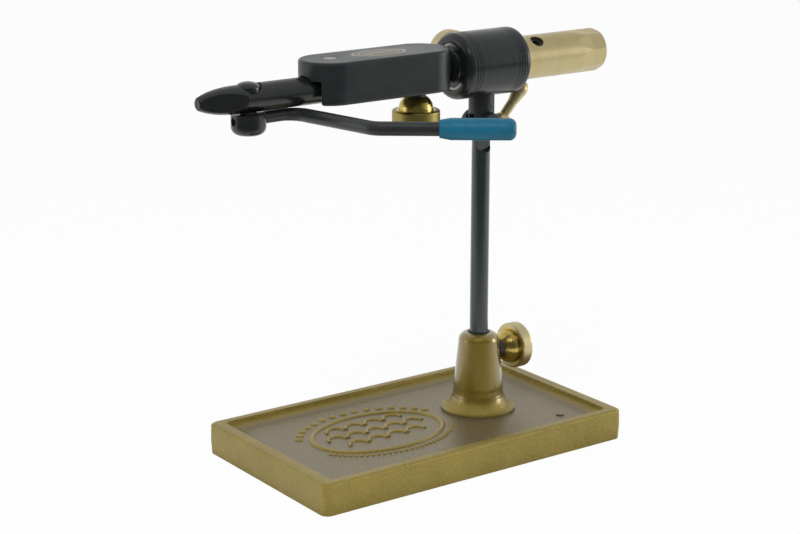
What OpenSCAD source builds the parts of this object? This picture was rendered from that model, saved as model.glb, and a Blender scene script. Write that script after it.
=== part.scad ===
// Fly tying vise on a cast pedestal base: a height-adjustable stem, a tilting neck
// and a full-turn rotary head with lever-opened jaws.
// Frame: origin at the centre of the base underside, +Z up, jaws towards -X.

/* [Base casting] */
// Length of the base
base_len = 185.9; // [170:0.1:215]
// Width of the base
base_wid = 107.5; // [90:0.1:130]
// Height of the rim above the table
base_h = 16.1; // [13:0.1:20]
// How far the sides are drawn in at the foot
base_foot_in = 0.7; // [0.3:0.1:1.5]
// Corner radius seen from above
base_corner_r = 3; // [2.5:0.1:6]
// Rounding of the rim's outer edge
base_edge_r = 2; // [0.8:0.1:2.4]
// Width of the rim on the long sides
rim_side_w = 4.8; // [4:0.1:8]
// Width of the rim on the short sides
rim_end_w = 6.4; // [4:0.1:9]
// Depth of the steep wall inside the rim
rim_wall_h = 2; // [1:0.1:2.2]
// Width of the shallow slope from the steep wall down to the tray floor
rim_slope_w = 6; // [3:0.1:8]
// Depth of the tray below the rim
tray_depth = 3.6; // [2.2:0.1:5]
// Distance of the stem from the rear end of the base
stem_in = 53.25; // [45:0.05:65]
// Radius of the cast pip on the tray floor
pip_r = 2.1; // [1.2:0.1:3]

/* [Boss on the base] */
// Radius of the boss flange
boss_flange_r = 19.6; // [18:0.1:23]
// Radius of the boss above its flare
boss_waist_r = 13; // [12:0.1:15]
// Radius of the boss under its rounded top
boss_top_r = 10.6; // [9.5:0.1:12]
// Height of the boss top above the table
boss_top_z = 54.4; // [50:0.1:60]
// Height of the flare above the tray floor
boss_flare_h = 12; // [9:0.1:14]
// Thickness of the flange lip
boss_lip_h = 1.4; // [0.8:0.1:2]
// Rounding of the boss top
boss_round_r = 4.5; // [3:0.1:4.8]
// Height of the clamp knob axis above the table
clamp_z = 42.7; // [38:0.1:44]

/* [Stem] */
// Stem diameter, three eighths of an inch
stem_d = 9.525; // [8:0.005:10.5]
// Height of the stem foot above the table at its lowest
stem_foot_z = 6; // [5.8:0.1:12]
// Height of the tilt pivot above the table
pivot_z = 165; // [150:0.1:180]
// Thickness of the flat tongue at the stem top
tongue_t = 4; // [3:0.1:4.6]
// How far the flats run down below the pivot
flat_run = 14; // [12:0.1:18]
// Thickness of the ring that seals the stem bore
ring_h = 1.8; // [1.3:0.1:2.4]
// Width of the seal ring across its section
ring_w = 1.1; // [0.9:0.1:1.2]

/* [Knobs] */
// Radius of each brass knob disc
knob_r = 12; // [10.5:0.1:12.5]
// Thickness of each knob disc
knob_t = 6.5; // [4.5:0.1:7]
// Radius of the dome where it meets the disc
dome_r = 8.8; // [7.5:0.1:9.5]
// Height of the dome
dome_h = 6.9; // [4:0.1:7.5]
// Radius of the black collar below the dome
collar_r = 5; // [4.2:0.1:5.4]
// Length of the collar between the base knob and the boss
base_collar_len = 3.1; // [2:0.1:5]
// Length of the short collars on the head and the housing
short_collar_len = 2.8; // [1:0.1:3.5]
// Radius of the threaded studs
stud_r = 3; // [2.4:0.1:3.4]
// Height of the drag knob above the rotary axis
drag_rise = 0.8; // [0:0.1:2]
// Distance of the drag knob behind the stem's axis
drag_back = 2.5; // [0:0.1:5]

/* [Neck and tilt clamp] */
// Radius of the neck
neck_r = 6.6; // [6.2:0.1:7.2]
// Depth of the neck below the pivot
neck_drop = 6.6; // [5.5:0.1:7]
// Height of the slot above the pivot
slot_rise = 6; // [5.5:0.1:7.5]
// Radius of the pivot bolt shank
bolt_r = 2.5; // [2:0.05:2.7]
// Radius of the pivot bolt head
bolt_head_r = 6.9; // [5:0.1:7]
// Thickness of the pivot bolt head
bolt_head_h = 3.4; // [2:0.1:4]
// Thickness of the pivot nut
nut_h = 4; // [3:0.1:4.6]
// Radius of the cross pin in the neck
cross_pin_r = 1.5; // [1:0.05:1.9]
// Height of the cross pin above the pivot
cross_pin_rise = 10; // [9.6:0.1:11]
// Length of the clamp screw boss
boss_len = 4.3; // [3.8:0.1:5.4]
// Radius of the clamp screw boss at its foot
boss_foot_r = 4.5; // [3.8:0.1:4.7]
// Radius of the clamp screw boss at its outer end
boss_end_r = 2.9; // [2.5:0.1:3.4]
// Radius of the clamp screw
clamp_screw_r = 1.7; // [1.3:0.05:1.8]
// Radius of the clamp lever hub
lever_hub_r = 3.9; // [3.4:0.1:4.4]
// Length of the clamp lever hub
lever_hub_len = 6.4; // [5:0.1:7]
// Reach of the clamp lever arm as a share of the room below the housing
arm_share = 1.08; // [0.9:0.01:1.09]
// Lean of the clamp lever arm away from upright
arm_lean = 27; // [26:1:34]
// Radius of the clamp lever arm at its waist
arm_waist_r = 2.1; // [1.6:0.1:2.3]
// Radius of the clamp lever arm at its tip
arm_tip_r = 3.2; // [2.4:0.1:3.2]

/* [Rotary housing] */
// Height of the rotary axis above the pivot
axis_rise = 31.4; // [31:0.1:38]
// Radius of the rotary housing
housing_r = 16.8; // [16:0.1:18.5]
// Front of the housing, measured forward from the stem
housing_front = 20.4; // [16:0.1:22]
// Length of the housing
housing_len = 40.1; // [38:0.1:44]
// Rounding of the housing's rear edge
housing_rear_r = 3; // [1:0.1:3.6]
// Rounding of the housing's front edge
housing_front_r = 3.5; // [1:0.1:4]
// Width and depth of the fine turned grooves
groove_w = 0.5; // [0.3:0.05:0.6]
// Spacing of the fine turned grooves
groove_pitch = 1.6; // [1.2:0.05:1.8]
// Distance of each set of grooves from its end of the housing
groove_inset = 5.3; // [4.5:0.1:6]

/* [Bearings and spindle] */
// Bearing outer radius
bearing_r = 12; // [11:0.1:12.4]
// Bearing bore radius, also the spindle radius
spindle_r = 6; // [5:0.1:6.3]
// Bearing width
bearing_w = 6; // [5:0.1:7]
// Radial thickness of the bearing rings
race_t = 1.6; // [1.2:0.1:1.7]
// Ball radius
ball_r = 1.9; // [1.6:0.05:2]
// Number of balls in each bearing
ball_count = 11; // [8:1:12]
// Thickness of the bearing shields
shield_t = 0.5; // [0.3:0.05:0.6]
// Depth of the front bearing inside the housing edge
bearing_sink = 0.8; // [0.5:0.1:1.2]

/* [Rear handle] */
// Radius of the rear handle
handle_r = 11.2; // [10:0.1:12]
// Length of the rear handle
handle_len = 54.6; // [48:0.1:60]
// Rounding of the rear handle's free end
handle_end_r = 2.2; // [1:0.1:3]
// Number of shallow finger flats
flat_count = 8; // [6:1:12]
// Depth of the finger flats at the free end
flat_depth = 0.9; // [0.6:0.05:1.4]
// Length of the finger flats
flat_len = 19.5; // [14:0.5:26]
// Length over which the finger flats keep their full depth
flat_full_len = 9; // [5:0.5:12]
// Distance of the set screw from the handle's front face
handle_screw_in = 10.2; // [8:0.1:13]
// Turn of the set screw away from straight up
handle_screw_turn = 34; // [0:1:60]
// Radius of the handle set screw
handle_screw_r = 3.6; // [2:0.1:3.8]

/* [Head case] */
// Half width of the head case
head_r = 15.2; // [14.6:0.1:16.5]
// Forward end centre of the head, measured forward from the stem
head_front = 92.2; // [90:0.1:97]
// Rear end centre of the head, measured forward from the stem
head_rear = 39; // [38.4:0.1:41]
// Height of the head top above the rotary axis
head_up = 11.4; // [10.6:0.1:12.5]
// Depth of the head bottom below the rotary axis
head_down = 9.2; // [8.6:0.1:9.6]
// Rounding of the head's edges
head_edge_r = 1.5; // [0.8:0.1:2.2]
// Distance of the head knob in front of the rear end centre
head_knob_ahead = 2.1; // [0:0.1:4]
// Half width of the channel that holds the jaws
channel_half_w = 10; // [9.4:0.1:10.6]
// Height of the channel's flat roof above the jaw axis
channel_rise = 5.3; // [4.5:0.1:6]
// Room round the jaw bar in the round part of the channel's roof
jaw_room = 0.6; // [0.5:0.1:0.9]
// Length of the channel behind the jaw pin
channel_back = 17; // [16.5:0.1:19]

/* [Jaws] */
// Depth of the jaw axis below the rotary axis
jaw_drop = 2.9; // [2.6:0.1:3.1]
// Radius of the jaw bar
jaw_r = 6.8; // [6.2:0.1:7]
// Distance of the jaw tips in front of the jaw pin
jaw_reach = 73.3; // [68:0.1:80]
// Length of the tapered jaw nose
nose_len = 25.3; // [20:0.1:30]
// Radius of the jaw nose at its tip
tip_r = 2.9; // [2.2:0.1:3.4]
// Half width across the flats at the tip
tip_half_w = 2.6; // [1.6:0.1:2.8]
// Half width across the flats where they start
flat_half_w = 6.5; // [5.6:0.1:6.7]
// Length of the jaw tails behind the jaw pin
tail_len = 15.6; // [15:0.1:16.4]
// Radius of the jaw pin's exposed head
pin_head_r = 3.45; // [3:0.05:3.7]
// Radius of the jaw pin shank
pin_r = 2.5; // [2:0.05:2.7]
// Distance of the cam pin in front of the jaw pin
cam_ahead = 45.9; // [40:0.1:48]
// Corner radius of the cam section
cam_r = 4; // [3.7:0.05:4.2]
// Half thickness of the cam section across its flats
cam_flat = 2.2; // [2:0.05:2.4]
// Radius of the cam pin's domed head
cam_head_r = 6.1; // [5.4:0.1:6.3]
// Height of the cam pin's domed head
cam_head_h = 4.6; // [3:0.1:5]

/* [Squeeze lever] */
// Radius of the lever hub below the jaws
hub_r = 8.4; // [7.4:0.1:8.8]
// Height of the lever hub
hub_h = 10.2; // [9:0.1:11]
// Rounding of the hub's lower edge
hub_edge_r = 4; // [1:0.1:4.4]
// Radius of the lever rod between its bends and the grip
rod_r = 3.35; // [3.1:0.05:3.4]
// Radius of the lever rod's first stretch
rod_start_r = 3; // [2.6:0.05:3.1]
// Distance of the rod's first bend behind the hub
rod_out = 27; // [24:0.1:30]
// Length of the rod between its two bends
rod_mid = 51.6; // [46:0.1:56]
// Length of the rod behind its second bend, up to the grip
rod_tail = 30; // [26:0.1:36]
// Yaw of the first stretch
yaw_out = 2; // [-4:1:6]
// Yaw of the middle stretch
yaw_mid = -79; // [-84:1:-70]
// Yaw of the stretch that carries the grip
yaw_tail = -37; // [-42:1:-32]
// Bend radius on the rod's centre line
bend_r = 9; // [7:0.5:11]
// Grip length
grip_len = 35.3; // [30:0.1:42]
// Grip radius
grip_r = 5.15; // [4.4:0.05:6]
// Radius of the grip's front lip
grip_lip_r = 4.2; // [3.9:0.05:4.3]
// Radius of the set screw in the hub
hub_screw_r = 2; // [1.5:0.1:2.2]

/* [Hidden] */
$fn = 64;

// Clearances
over = 1;
fit = 0.05;
air = 0.3;
thin = 0.01;

// Places worked out from the sizes above
tray_z = base_h - tray_depth;
axis_z = pivot_z + axis_rise;
stem_x = base_len / 2 - stem_in;
stem_r = stem_d / 2;
bore_floor_z = stem_foot_z - air;
housing_x = stem_x - housing_front;
housing_end = housing_x + housing_len;
front_bearing_x = housing_x + bearing_sink;
rear_bearing_x = housing_end - bearing_sink - bearing_w;
head_x = stem_x - head_front;
head_rear_x = stem_x - head_rear;
head_knob_x = head_rear_x - head_knob_ahead;
jaw_z = axis_z - jaw_drop;
cam_x = head_x - cam_ahead;
tip_x = head_x - jaw_reach;
handle_x = housing_end + 2 * air;
knob_len = dome_h + knob_t;
hub_top_z = jaw_z - jaw_r - air;
hub_z = hub_top_z - hub_h;
rod_z = hub_top_z - rod_r - fit;
head_bottom_z = axis_z - head_down;

function arc(cx, cy, r, a0, a1, n = 8) =
    [for (i = [0:n]) let (a = a0 + (a1 - a0) * i / n) [cx + r * cos(a), cy + r * sin(a)]];

// Places children with their Z axis along X at the height of the rotary axis
module along_x(x, z) {
    translate([x, 0, z]) rotate([0, 90, 0]) children();
}

// Plate with round corners, drawn in from the ends and from the long sides
module rounded_plate(end_in, side_in, z, r) {
    for (sx = [-1, 1], sy = [-1, 1])
        translate([sx * (base_len / 2 - end_in - r), sy * (base_wid / 2 - side_in - r), z])
            cylinder(r = r, h = thin, $fn = 32);
}

// The sides bulge slightly above the foot, then round over into the rim
module base_body() {
    side_z = base_h - base_edge_r;
    hull() {
        rounded_plate(base_foot_in, base_foot_in, 0, base_corner_r);
        rounded_plate(0, 0, side_z / 2, base_corner_r);
        for (a = [0:22.5:90])
            let (inset = base_edge_r * (1 - cos(a)) + base_foot_in / 4)
                rounded_plate(inset, inset, side_z + base_edge_r * sin(a) - thin, base_corner_r);
    }
}

module tray_cut() {
    wall_in = rim_wall_h / 6;
    wall_z = base_h - rim_wall_h;
    end_in = rim_end_w + rim_slope_w + wall_in;
    side_in = rim_side_w + rim_slope_w + wall_in;
    hull() {
        rounded_plate(end_in, side_in, tray_z, base_corner_r);
        rounded_plate(rim_end_w + wall_in, rim_side_w + wall_in, wall_z, base_corner_r);
    }
    hull() {
        rounded_plate(rim_end_w + wall_in, rim_side_w + wall_in, wall_z, base_corner_r);
        rounded_plate(rim_end_w, rim_side_w, base_h, base_corner_r);
    }
    hull() {
        rounded_plate(rim_end_w, rim_side_w, base_h, base_corner_r);
        rounded_plate(rim_end_w, rim_side_w, base_h + over, base_corner_r);
    }
}

module boss_body() {
    flare_z = tray_z + boss_lip_h;
    lip_step = boss_lip_h / 2;
    flare_w = boss_flange_r - lip_step - boss_waist_r;
    profile = concat(
        [[0, tray_z - boss_lip_h], [boss_flange_r, tray_z - boss_lip_h]],
        [[boss_flange_r, flare_z], [boss_flange_r - lip_step, flare_z]],
        [for (t = [10:10:90]) [boss_waist_r + flare_w * (1 - sin(t)),
            flare_z + boss_flare_h * (1 - cos(t))]],
        arc(boss_top_r - boss_round_r, boss_top_z - boss_round_r, boss_round_r, 0, 90),
        [[0, boss_top_z]]);
    rotate_extrude($fn = 96) polygon(profile);
}

module base_casting() {
    pip_x = base_len * 0.363;
    pip_y = -base_wid * 0.32;
    ring_seat = ring_h - ring_w / 3;
    color([0.55, 0.5, 0.33]) difference() {
        union() {
            difference() {
                base_body();
                tray_cut();
            }
            translate([stem_x, 0, 0]) boss_body();
            translate([pip_x, pip_y, tray_z - pip_r]) cylinder(r = pip_r, h = pip_r * 1.35);
        }
        translate([stem_x, 0, bore_floor_z])
            cylinder(r = stem_r + fit, h = boss_top_z);
        translate([stem_x, 0, boss_top_z - ring_seat])
            cylinder(r = stem_r + fit + ring_w + fit, h = ring_h + over);
        along_x(stem_x, clamp_z) cylinder(r = stud_r + fit, h = boss_flange_r + over);
        along_x(stem_x + boss_top_r, clamp_z)
            cylinder(r = collar_r + air, h = boss_flange_r);
    }
}

module stem_ring() {
    ring_seat = ring_h - ring_w / 3;
    inner = stem_r + fit;
    round_r = ring_w / 2;
    profile = concat([[inner, 0], [inner + ring_w - fit, 0]],
        arc(inner + round_r - fit, ring_h - round_r, round_r, 0, 90),
        [[inner, ring_h]]);
    color([0.06, 0.06, 0.07]) translate([stem_x, 0, boss_top_z - ring_seat])
        rotate_extrude() polygon(profile);
}

// Brass thumb knob: a low dome on a thick disc, axis +Z, dome first
module thumb_knob() {
    edge_r = knob_t / 7;
    steps = 7;
    cut_angle = acos(collar_r / dome_r);
    full_h = dome_h / sin(cut_angle);
    bore_h = knob_len - knob_t / 4;
    profile = concat([[0, 0]],
        [for (i = [steps:-1:0]) [dome_r * cos(cut_angle * i / steps),
            dome_h - full_h * sin(cut_angle * i / steps)]],
        [[knob_r - edge_r, dome_h]],
        arc(knob_r - edge_r, dome_h + edge_r, edge_r, -90, 0, 4),
        arc(knob_r - edge_r, knob_len - edge_r, edge_r, 0, 90, 4),
        [[0, knob_len]]);
    color([0.8, 0.62, 0.25]) difference() {
        rotate_extrude($fn = 96) polygon(profile);
        translate([0, 0, -over]) cylinder(r = stud_r, h = bore_h + over);
    }
}

// Threaded stud with a black collar under the knob: axis +Z, starts at its tip
module knob_stud(tip_len, collar_len) {
    bore_h = knob_len - knob_t / 4;
    color([0.1, 0.1, 0.11]) {
        cylinder(r = stud_r, h = tip_len + collar_len + bore_h);
        translate([0, 0, tip_len]) cylinder(r = collar_r, h = collar_len);
    }
}

base_tip_x = stem_x + stem_r + air;
base_collar_x = stem_x + boss_top_r + air;
base_knob_x = base_collar_x + base_collar_len;

module base_knob() {
    along_x(base_knob_x, clamp_z) thumb_knob();
}

module base_knob_stud() {
    along_x(base_tip_x, clamp_z) knob_stud(base_collar_x - base_tip_x, base_collar_len);
}

module stem() {
    run_z = pivot_z - flat_run;
    relief_r = stem_r * 1.6;
    color([0.75, 0.76, 0.78]) translate([stem_x, 0, 0]) difference() {
        union() {
            translate([0, 0, stem_foot_z]) cylinder(r = stem_r, h = pivot_z - stem_foot_z);
            intersection() {
                translate([0, 0, pivot_z - over]) cylinder(r = stem_r, h = stem_r + over);
                translate([0, stem_r, pivot_z]) rotate([90, 0, 0])
                    cylinder(r = stem_r, h = stem_d);
            }
        }
        // Milled flats with a round run-out at their lower end
        for (s = [-1, 1]) {
            translate([-stem_d / 2 - over, s > 0 ? tongue_t / 2 : -tongue_t / 2 - stem_d,
                run_z + stem_r])
                cube([stem_d + 2 * over, stem_d, flat_run + stem_d]);
            translate([0, s > 0 ? tongue_t / 2 : -tongue_t / 2 - stem_d, run_z + stem_r])
                rotate([-90, 0, 0]) cylinder(r = stem_r, h = stem_d);
        }
        translate([0, stem_d, pivot_z]) rotate([90, 0, 0])
            cylinder(r = bolt_r + fit, h = 2 * stem_d);
        // Relief round the pivot that the clamp screw sweeps through
        intersection() {
            translate([0, stem_d / 2, pivot_z]) rotate([90, 0, 0]) difference() {
                cylinder(r = relief_r, h = stem_d);
                translate([0, 0, -over]) cylinder(r = stem_r, h = stem_d + 2 * over);
            }
            translate([0, -stem_r, pivot_z - relief_r * 0.72])
                cube([relief_r, stem_d, relief_r * 0.72]);
        }
    }
}

neck_foot_z = pivot_z - neck_drop;
cheek_y = neck_r - 1 * over;

module neck() {
    slot_w = tongue_t + 2 * fit;
    foot_x = neck_r * 0.8;
    color([0.1, 0.11, 0.12]) translate([stem_x, 0, 0]) difference() {
        translate([0, 0, neck_foot_z]) cylinder(r = neck_r, h = axis_z - neck_foot_z);
        along_x(-housing_r, axis_z) cylinder(r = housing_r, h = 2 * housing_r);
        translate([-neck_r - over, -slot_w / 2, neck_foot_z - over])
            cube([2 * (neck_r + over), slot_w, neck_drop + slot_rise + over]);
        translate([0, neck_r + over, pivot_z]) rotate([90, 0, 0])
            cylinder(r = bolt_r, h = 2 * (neck_r + over));
        for (s = [-1, 1])
            translate([0, s > 0 ? cheek_y : -cheek_y - neck_r, pivot_z]) rotate([-90, 0, 0])
                cylinder(r = bolt_head_r + air, h = neck_r);
        translate([0, neck_r + over, pivot_z + cross_pin_rise]) rotate([90, 0, 0])
            cylinder(r = cross_pin_r, h = 2 * (neck_r + over));
        along_x(foot_x, pivot_z) cylinder(r = boss_foot_r, h = neck_r);
        along_x(0, pivot_z) cylinder(r = clamp_screw_r + fit, h = 2 * neck_r);
    }
}

module pivot_bolt() {
    shank_len = 2 * cheek_y + nut_h;
    socket_r = bolt_head_r / 2;
    color([0.08, 0.08, 0.09]) translate([stem_x, cheek_y, pivot_z]) rotate([-90, 0, 0]) {
        translate([0, 0, -shank_len]) cylinder(r = bolt_r, h = shank_len + fit);
        difference() {
            rotate_extrude() polygon(concat([[0, 0], [bolt_head_r, 0]],
                arc(bolt_head_r - bolt_head_h / 3, bolt_head_h * 2 / 3, bolt_head_h / 3, 0, 90, 4),
                [[0, bolt_head_h]]));
            translate([0, 0, bolt_head_h / 2])
                cylinder(r = socket_r, h = bolt_head_h, $fn = 6);
        }
    }
}

module pivot_nut() {
    edge_r = nut_h / 5;
    color([0.08, 0.08, 0.09]) translate([stem_x, -cheek_y, pivot_z]) rotate([90, 0, 0])
        difference() {
            rotate_extrude() polygon(concat([[0, 0], [bolt_head_r, 0]],
                arc(bolt_head_r - edge_r, nut_h - edge_r, edge_r, 0, 90, 4),
                [[0, nut_h]]));
            translate([0, 0, -over]) cylinder(r = bolt_r, h = nut_h + 2 * over);
        }
}

module neck_pin() {
    color([0.3, 0.31, 0.33]) translate([stem_x, neck_r, pivot_z + cross_pin_rise])
        rotate([90, 0, 0]) cylinder(r = cross_pin_r, h = 2 * neck_r);
}

boss_foot_x = stem_x + neck_r * 0.8;
clamp_hub_x = boss_foot_x + boss_len + air;
arm_len = arm_share * (axis_rise - housing_r);

module clamp_boss() {
    slot_w = tongue_t + 2 * fit;
    slot_deep = boss_len * 0.7;
    color([0.08, 0.08, 0.09]) difference() {
        along_x(boss_foot_x, pivot_z)
            rotate_extrude() polygon([[0, 0], [boss_foot_r, 0], [boss_end_r, boss_len], [0, boss_len]]);
        along_x(boss_foot_x - over, pivot_z)
            cylinder(r = clamp_screw_r + fit, h = boss_len + 2 * over);
        translate([boss_foot_x - over, -slot_w / 2, pivot_z - boss_foot_r - over])
            cube([slot_deep + over, slot_w, 2 * (boss_foot_r + over)]);
    }
}

module clamp_lever() {
    tip_x = stem_x + stem_r + air;
    mid_x = clamp_hub_x + lever_hub_len / 2;
    edge_r = lever_hub_len / 6;
    color([0.8, 0.62, 0.25]) {
        along_x(tip_x, pivot_z) cylinder(r = clamp_screw_r, h = mid_x - tip_x);
        along_x(clamp_hub_x, pivot_z) rotate_extrude() polygon(concat([[0, 0]],
            arc(lever_hub_r - edge_r, edge_r, edge_r, -90, 0, 4),
            arc(lever_hub_r - edge_r, lever_hub_len - edge_r, edge_r, 0, 90, 4),
            [[0, lever_hub_len]]));
        translate([mid_x, 0, pivot_z]) rotate([0, arm_lean, 0]) {
            cylinder(r1 = lever_hub_r * 0.75, r2 = arm_waist_r, h = arm_len / 2);
            translate([0, 0, arm_len / 2])
                cylinder(r1 = arm_waist_r, r2 = arm_tip_r, h = arm_len / 2 - arm_tip_r);
            translate([0, 0, arm_len - arm_tip_r]) sphere(r = arm_tip_r);
        }
    }
}

module housing_outline() {
    mid_r = bearing_r - race_t;
    seat = bearing_sink + bearing_w;
    far = housing_len - groove_inset;
    half = groove_w / 2;
    front_grooves = [for (i = [0:2]) each let (x = groove_inset + i * groove_pitch)
        [[housing_r, x - half], [housing_r - half, x], [housing_r, x + half]]];
    rear_grooves = [for (i = [2:-1:0]) each let (x = far - i * groove_pitch)
        [[housing_r, x - half], [housing_r - half, x], [housing_r, x + half]]];
    polygon(concat(
        [[bearing_r, 0]],
        arc(housing_r - housing_front_r, housing_front_r, housing_front_r, -90, 0, 5),
        front_grooves, rear_grooves,
        arc(housing_r - housing_rear_r, housing_len - housing_rear_r, housing_rear_r, 0, 90, 6),
        [[bearing_r, housing_len], [bearing_r, housing_len - seat],
            [mid_r, housing_len - seat], [mid_r, seat], [bearing_r, seat]]));
}

// Places children on the drag screw's axis at a distance from the spindle
module at_drag(y) {
    translate([stem_x + drag_back, y, axis_z + drag_rise]) rotate([-90, 0, 0]) children();
}

module rotary_housing() {
    color([0.1, 0.11, 0.12]) difference() {
        along_x(housing_x, axis_z) rotate_extrude($fn = 128) housing_outline();
        at_drag(0) cylinder(r = stud_r + fit, h = housing_r + over);
    }
}

module race(outer, inner, x) {
    edge = race_t / 6;
    color([0.78, 0.79, 0.8]) along_x(x, axis_z) rotate_extrude($fn = 96)
        polygon([[inner, edge], [inner + edge, 0], [outer - edge, 0], [outer, edge],
            [outer, bearing_w - edge], [outer - edge, bearing_w],
            [inner + edge, bearing_w], [inner, bearing_w - edge]]);
}

module shields(x) {
    outer = bearing_r - race_t - fit;
    inner = spindle_r + race_t + air;
    color([0.14, 0.14, 0.15]) for (dx = [race_t / 4, bearing_w - race_t / 4 - shield_t])
        along_x(x + dx, axis_z) difference() {
            cylinder(r = outer, h = shield_t, $fn = 96);
            translate([0, 0, -over])
                cylinder(r = inner, h = shield_t + 2 * over, $fn = 96);
        }
}

module balls(x) {
    orbit = (bearing_r + spindle_r) / 2;
    gap_r = (bearing_r - spindle_r) / 2 - race_t - fit;
    r = min(ball_r, gap_r);
    color([0.85, 0.86, 0.87]) for (i = [0:ball_count - 1])
        along_x(x + bearing_w / 2, axis_z) rotate([0, 0, i * 360 / ball_count])
            translate([orbit, 0, 0]) sphere(r = r, $fn = 24);
}

module front_outer_race() { race(bearing_r, bearing_r - race_t, front_bearing_x); }
module front_inner_race() { race(spindle_r + race_t, spindle_r, front_bearing_x); }
module front_shields() { shields(front_bearing_x); }
module front_balls() { balls(front_bearing_x); }
module rear_outer_race() { race(bearing_r, bearing_r - race_t, rear_bearing_x); }
module rear_inner_race() { race(spindle_r + race_t, spindle_r, rear_bearing_x); }
module rear_shields() { shields(rear_bearing_x); }
module rear_balls() { balls(rear_bearing_x); }

drag_collar_y = housing_r + air;
drag_knob_y = drag_collar_y + short_collar_len;
drag_tip_y = spindle_r + air;
drag_tip_len = stud_r;

module drag_knob() {
    at_drag(drag_knob_y) thumb_knob();
}

module drag_knob_stud() {
    start = drag_tip_y + drag_tip_len;
    at_drag(start) knob_stud(drag_collar_y - start, short_collar_len);
}

module drag_tip() {
    color([0.85, 0.84, 0.78]) at_drag(drag_tip_y)
        cylinder(r = stud_r - fit, h = drag_tip_len);
}

spindle_front_x = head_rear_x - head_r * 0.6;
spindle_end_x = handle_x + handle_len * 0.45;

module spindle() {
    shoulder_x = head_rear_x + head_r + air;
    shoulder_end = front_bearing_x;
    shoulder_r = spindle_r + race_t;
    color([0.12, 0.12, 0.13]) {
        along_x(spindle_front_x, axis_z)
            cylinder(r = spindle_r, h = spindle_end_x - spindle_front_x);
        along_x(shoulder_x, axis_z) cylinder(r = shoulder_r, h = shoulder_end - shoulder_x);
    }
}

// Each finger flat slopes in from the surface, then runs level to the free end
module handle_flats() {
    flat_r = handle_r - flat_depth;
    clear_r = handle_r + over;
    start = handle_len - flat_len;
    end = handle_len + over;
    for (i = [0:flat_count - 1])
        rotate([0, 0, 180 + handle_screw_turn + (i + 0.5) * 360 / flat_count]) rotate([90, 0, 0])
            linear_extrude(height = 2 * handle_r, center = true)
                polygon([[handle_r, start], [flat_r, handle_len - flat_full_len],
                    [flat_r, end], [clear_r, end], [clear_r, start]]);
}

module rotary_handle() {
    front_r = handle_end_r / 3;
    spigot_r = spindle_r + race_t;
    spigot_h = handle_x - rear_bearing_x - bearing_w;
    color([0.8, 0.7, 0.42]) difference() {
        along_x(handle_x, axis_z) difference() {
            union() {
                rotate_extrude($fn = 128) polygon(concat([[0, 0]],
                    arc(handle_r - front_r, front_r, front_r, -90, 0, 4),
                    arc(handle_r - handle_end_r, handle_len - handle_end_r, handle_end_r, 0, 90, 6),
                    [[0, handle_len]]));
                translate([0, 0, -spigot_h]) cylinder(r = spigot_r, h = spigot_h + fit);
            }
            translate([0, 0, -spigot_h - over])
                cylinder(r = spindle_r, h = spigot_h + over + spindle_end_x - handle_x + air);
            handle_flats();
        }
        translate([handle_x + handle_screw_in, 0, axis_z]) rotate([handle_screw_turn, 0, 0])
            cylinder(r = handle_screw_r + fit, h = handle_r + over);
    }
}

// Hexagon socket set screw along +Z, its open end at the top
module set_screw(r, len) {
    color([0.06, 0.06, 0.07]) difference() {
        cylinder(r = r, h = len);
        translate([0, 0, len * 0.6]) cylinder(r = r * 0.58, h = len, $fn = 6);
    }
}

module handle_screw() {
    sunk = handle_screw_r / 2;
    translate([handle_x + handle_screw_in, 0, axis_z]) rotate([handle_screw_turn, 0, 0])
        translate([0, 0, spindle_r]) set_screw(handle_screw_r, handle_r - sunk - spindle_r);
}

// Half outline of the head case, radius outwards and height upwards
function head_half(r) = concat(
    [[0, -head_down]],
    arc(r - head_edge_r, head_edge_r - head_down, head_edge_r, -90, 0, 5),
    arc(r - head_edge_r, head_up - head_edge_r, head_edge_r, 0, 90, 5),
    [[0, head_up]]);

module head_solid() {
    half = head_half(head_r);
    left = [for (i = [len(half) - 2:-1:1]) [-half[i][0], half[i][1]]];
    translate([0, 0, axis_z]) {
        for (x = [head_x, head_rear_x])
            translate([x, 0, 0]) rotate_extrude($fn = 96) polygon(half);
        translate([head_rear_x, 0, 0]) rotate([90, 0, -90])
            linear_extrude(height = head_rear_x - head_x) polygon(concat(half, left));
    }
}

module head_case() {
    front = head_x - head_r - over;
    channel_len = head_x + channel_back - front;
    pin_seat_z = axis_z + head_up;
    stud_top = axis_z - spindle_r;
    color([0.1, 0.11, 0.12]) difference() {
        head_solid();
        along_x(front, jaw_z)
            cylinder(r = jaw_r + jaw_room, h = channel_len, $fn = 96);
        translate([front, -channel_half_w, head_bottom_z - over])
            cube([channel_len, 2 * channel_half_w, jaw_z + channel_rise - head_bottom_z + over]);
        translate([head_x, 0, axis_z]) cylinder(r = pin_head_r, h = head_up + over);
        along_x(spindle_front_x, axis_z)
            cylinder(r = spindle_r, h = head_rear_x + head_r + over - spindle_front_x);
        translate([head_knob_x, 0, head_bottom_z - over])
            cylinder(r = stud_r + fit, h = stud_top - head_bottom_z + over + fit);
    }
}

head_collar_z = head_bottom_z - air;
head_knob_z = head_collar_z - short_collar_len;

module head_knob() {
    translate([head_knob_x, 0, head_knob_z]) rotate([180, 0, 0]) thumb_knob();
}

module head_knob_stud() {
    tip_z = axis_z - spindle_r - air;
    translate([head_knob_x, 0, tip_z]) rotate([180, 0, 0])
        knob_stud(tip_z - head_collar_z, head_collar_z - head_knob_z);
}

clip_t = 1;

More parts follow.
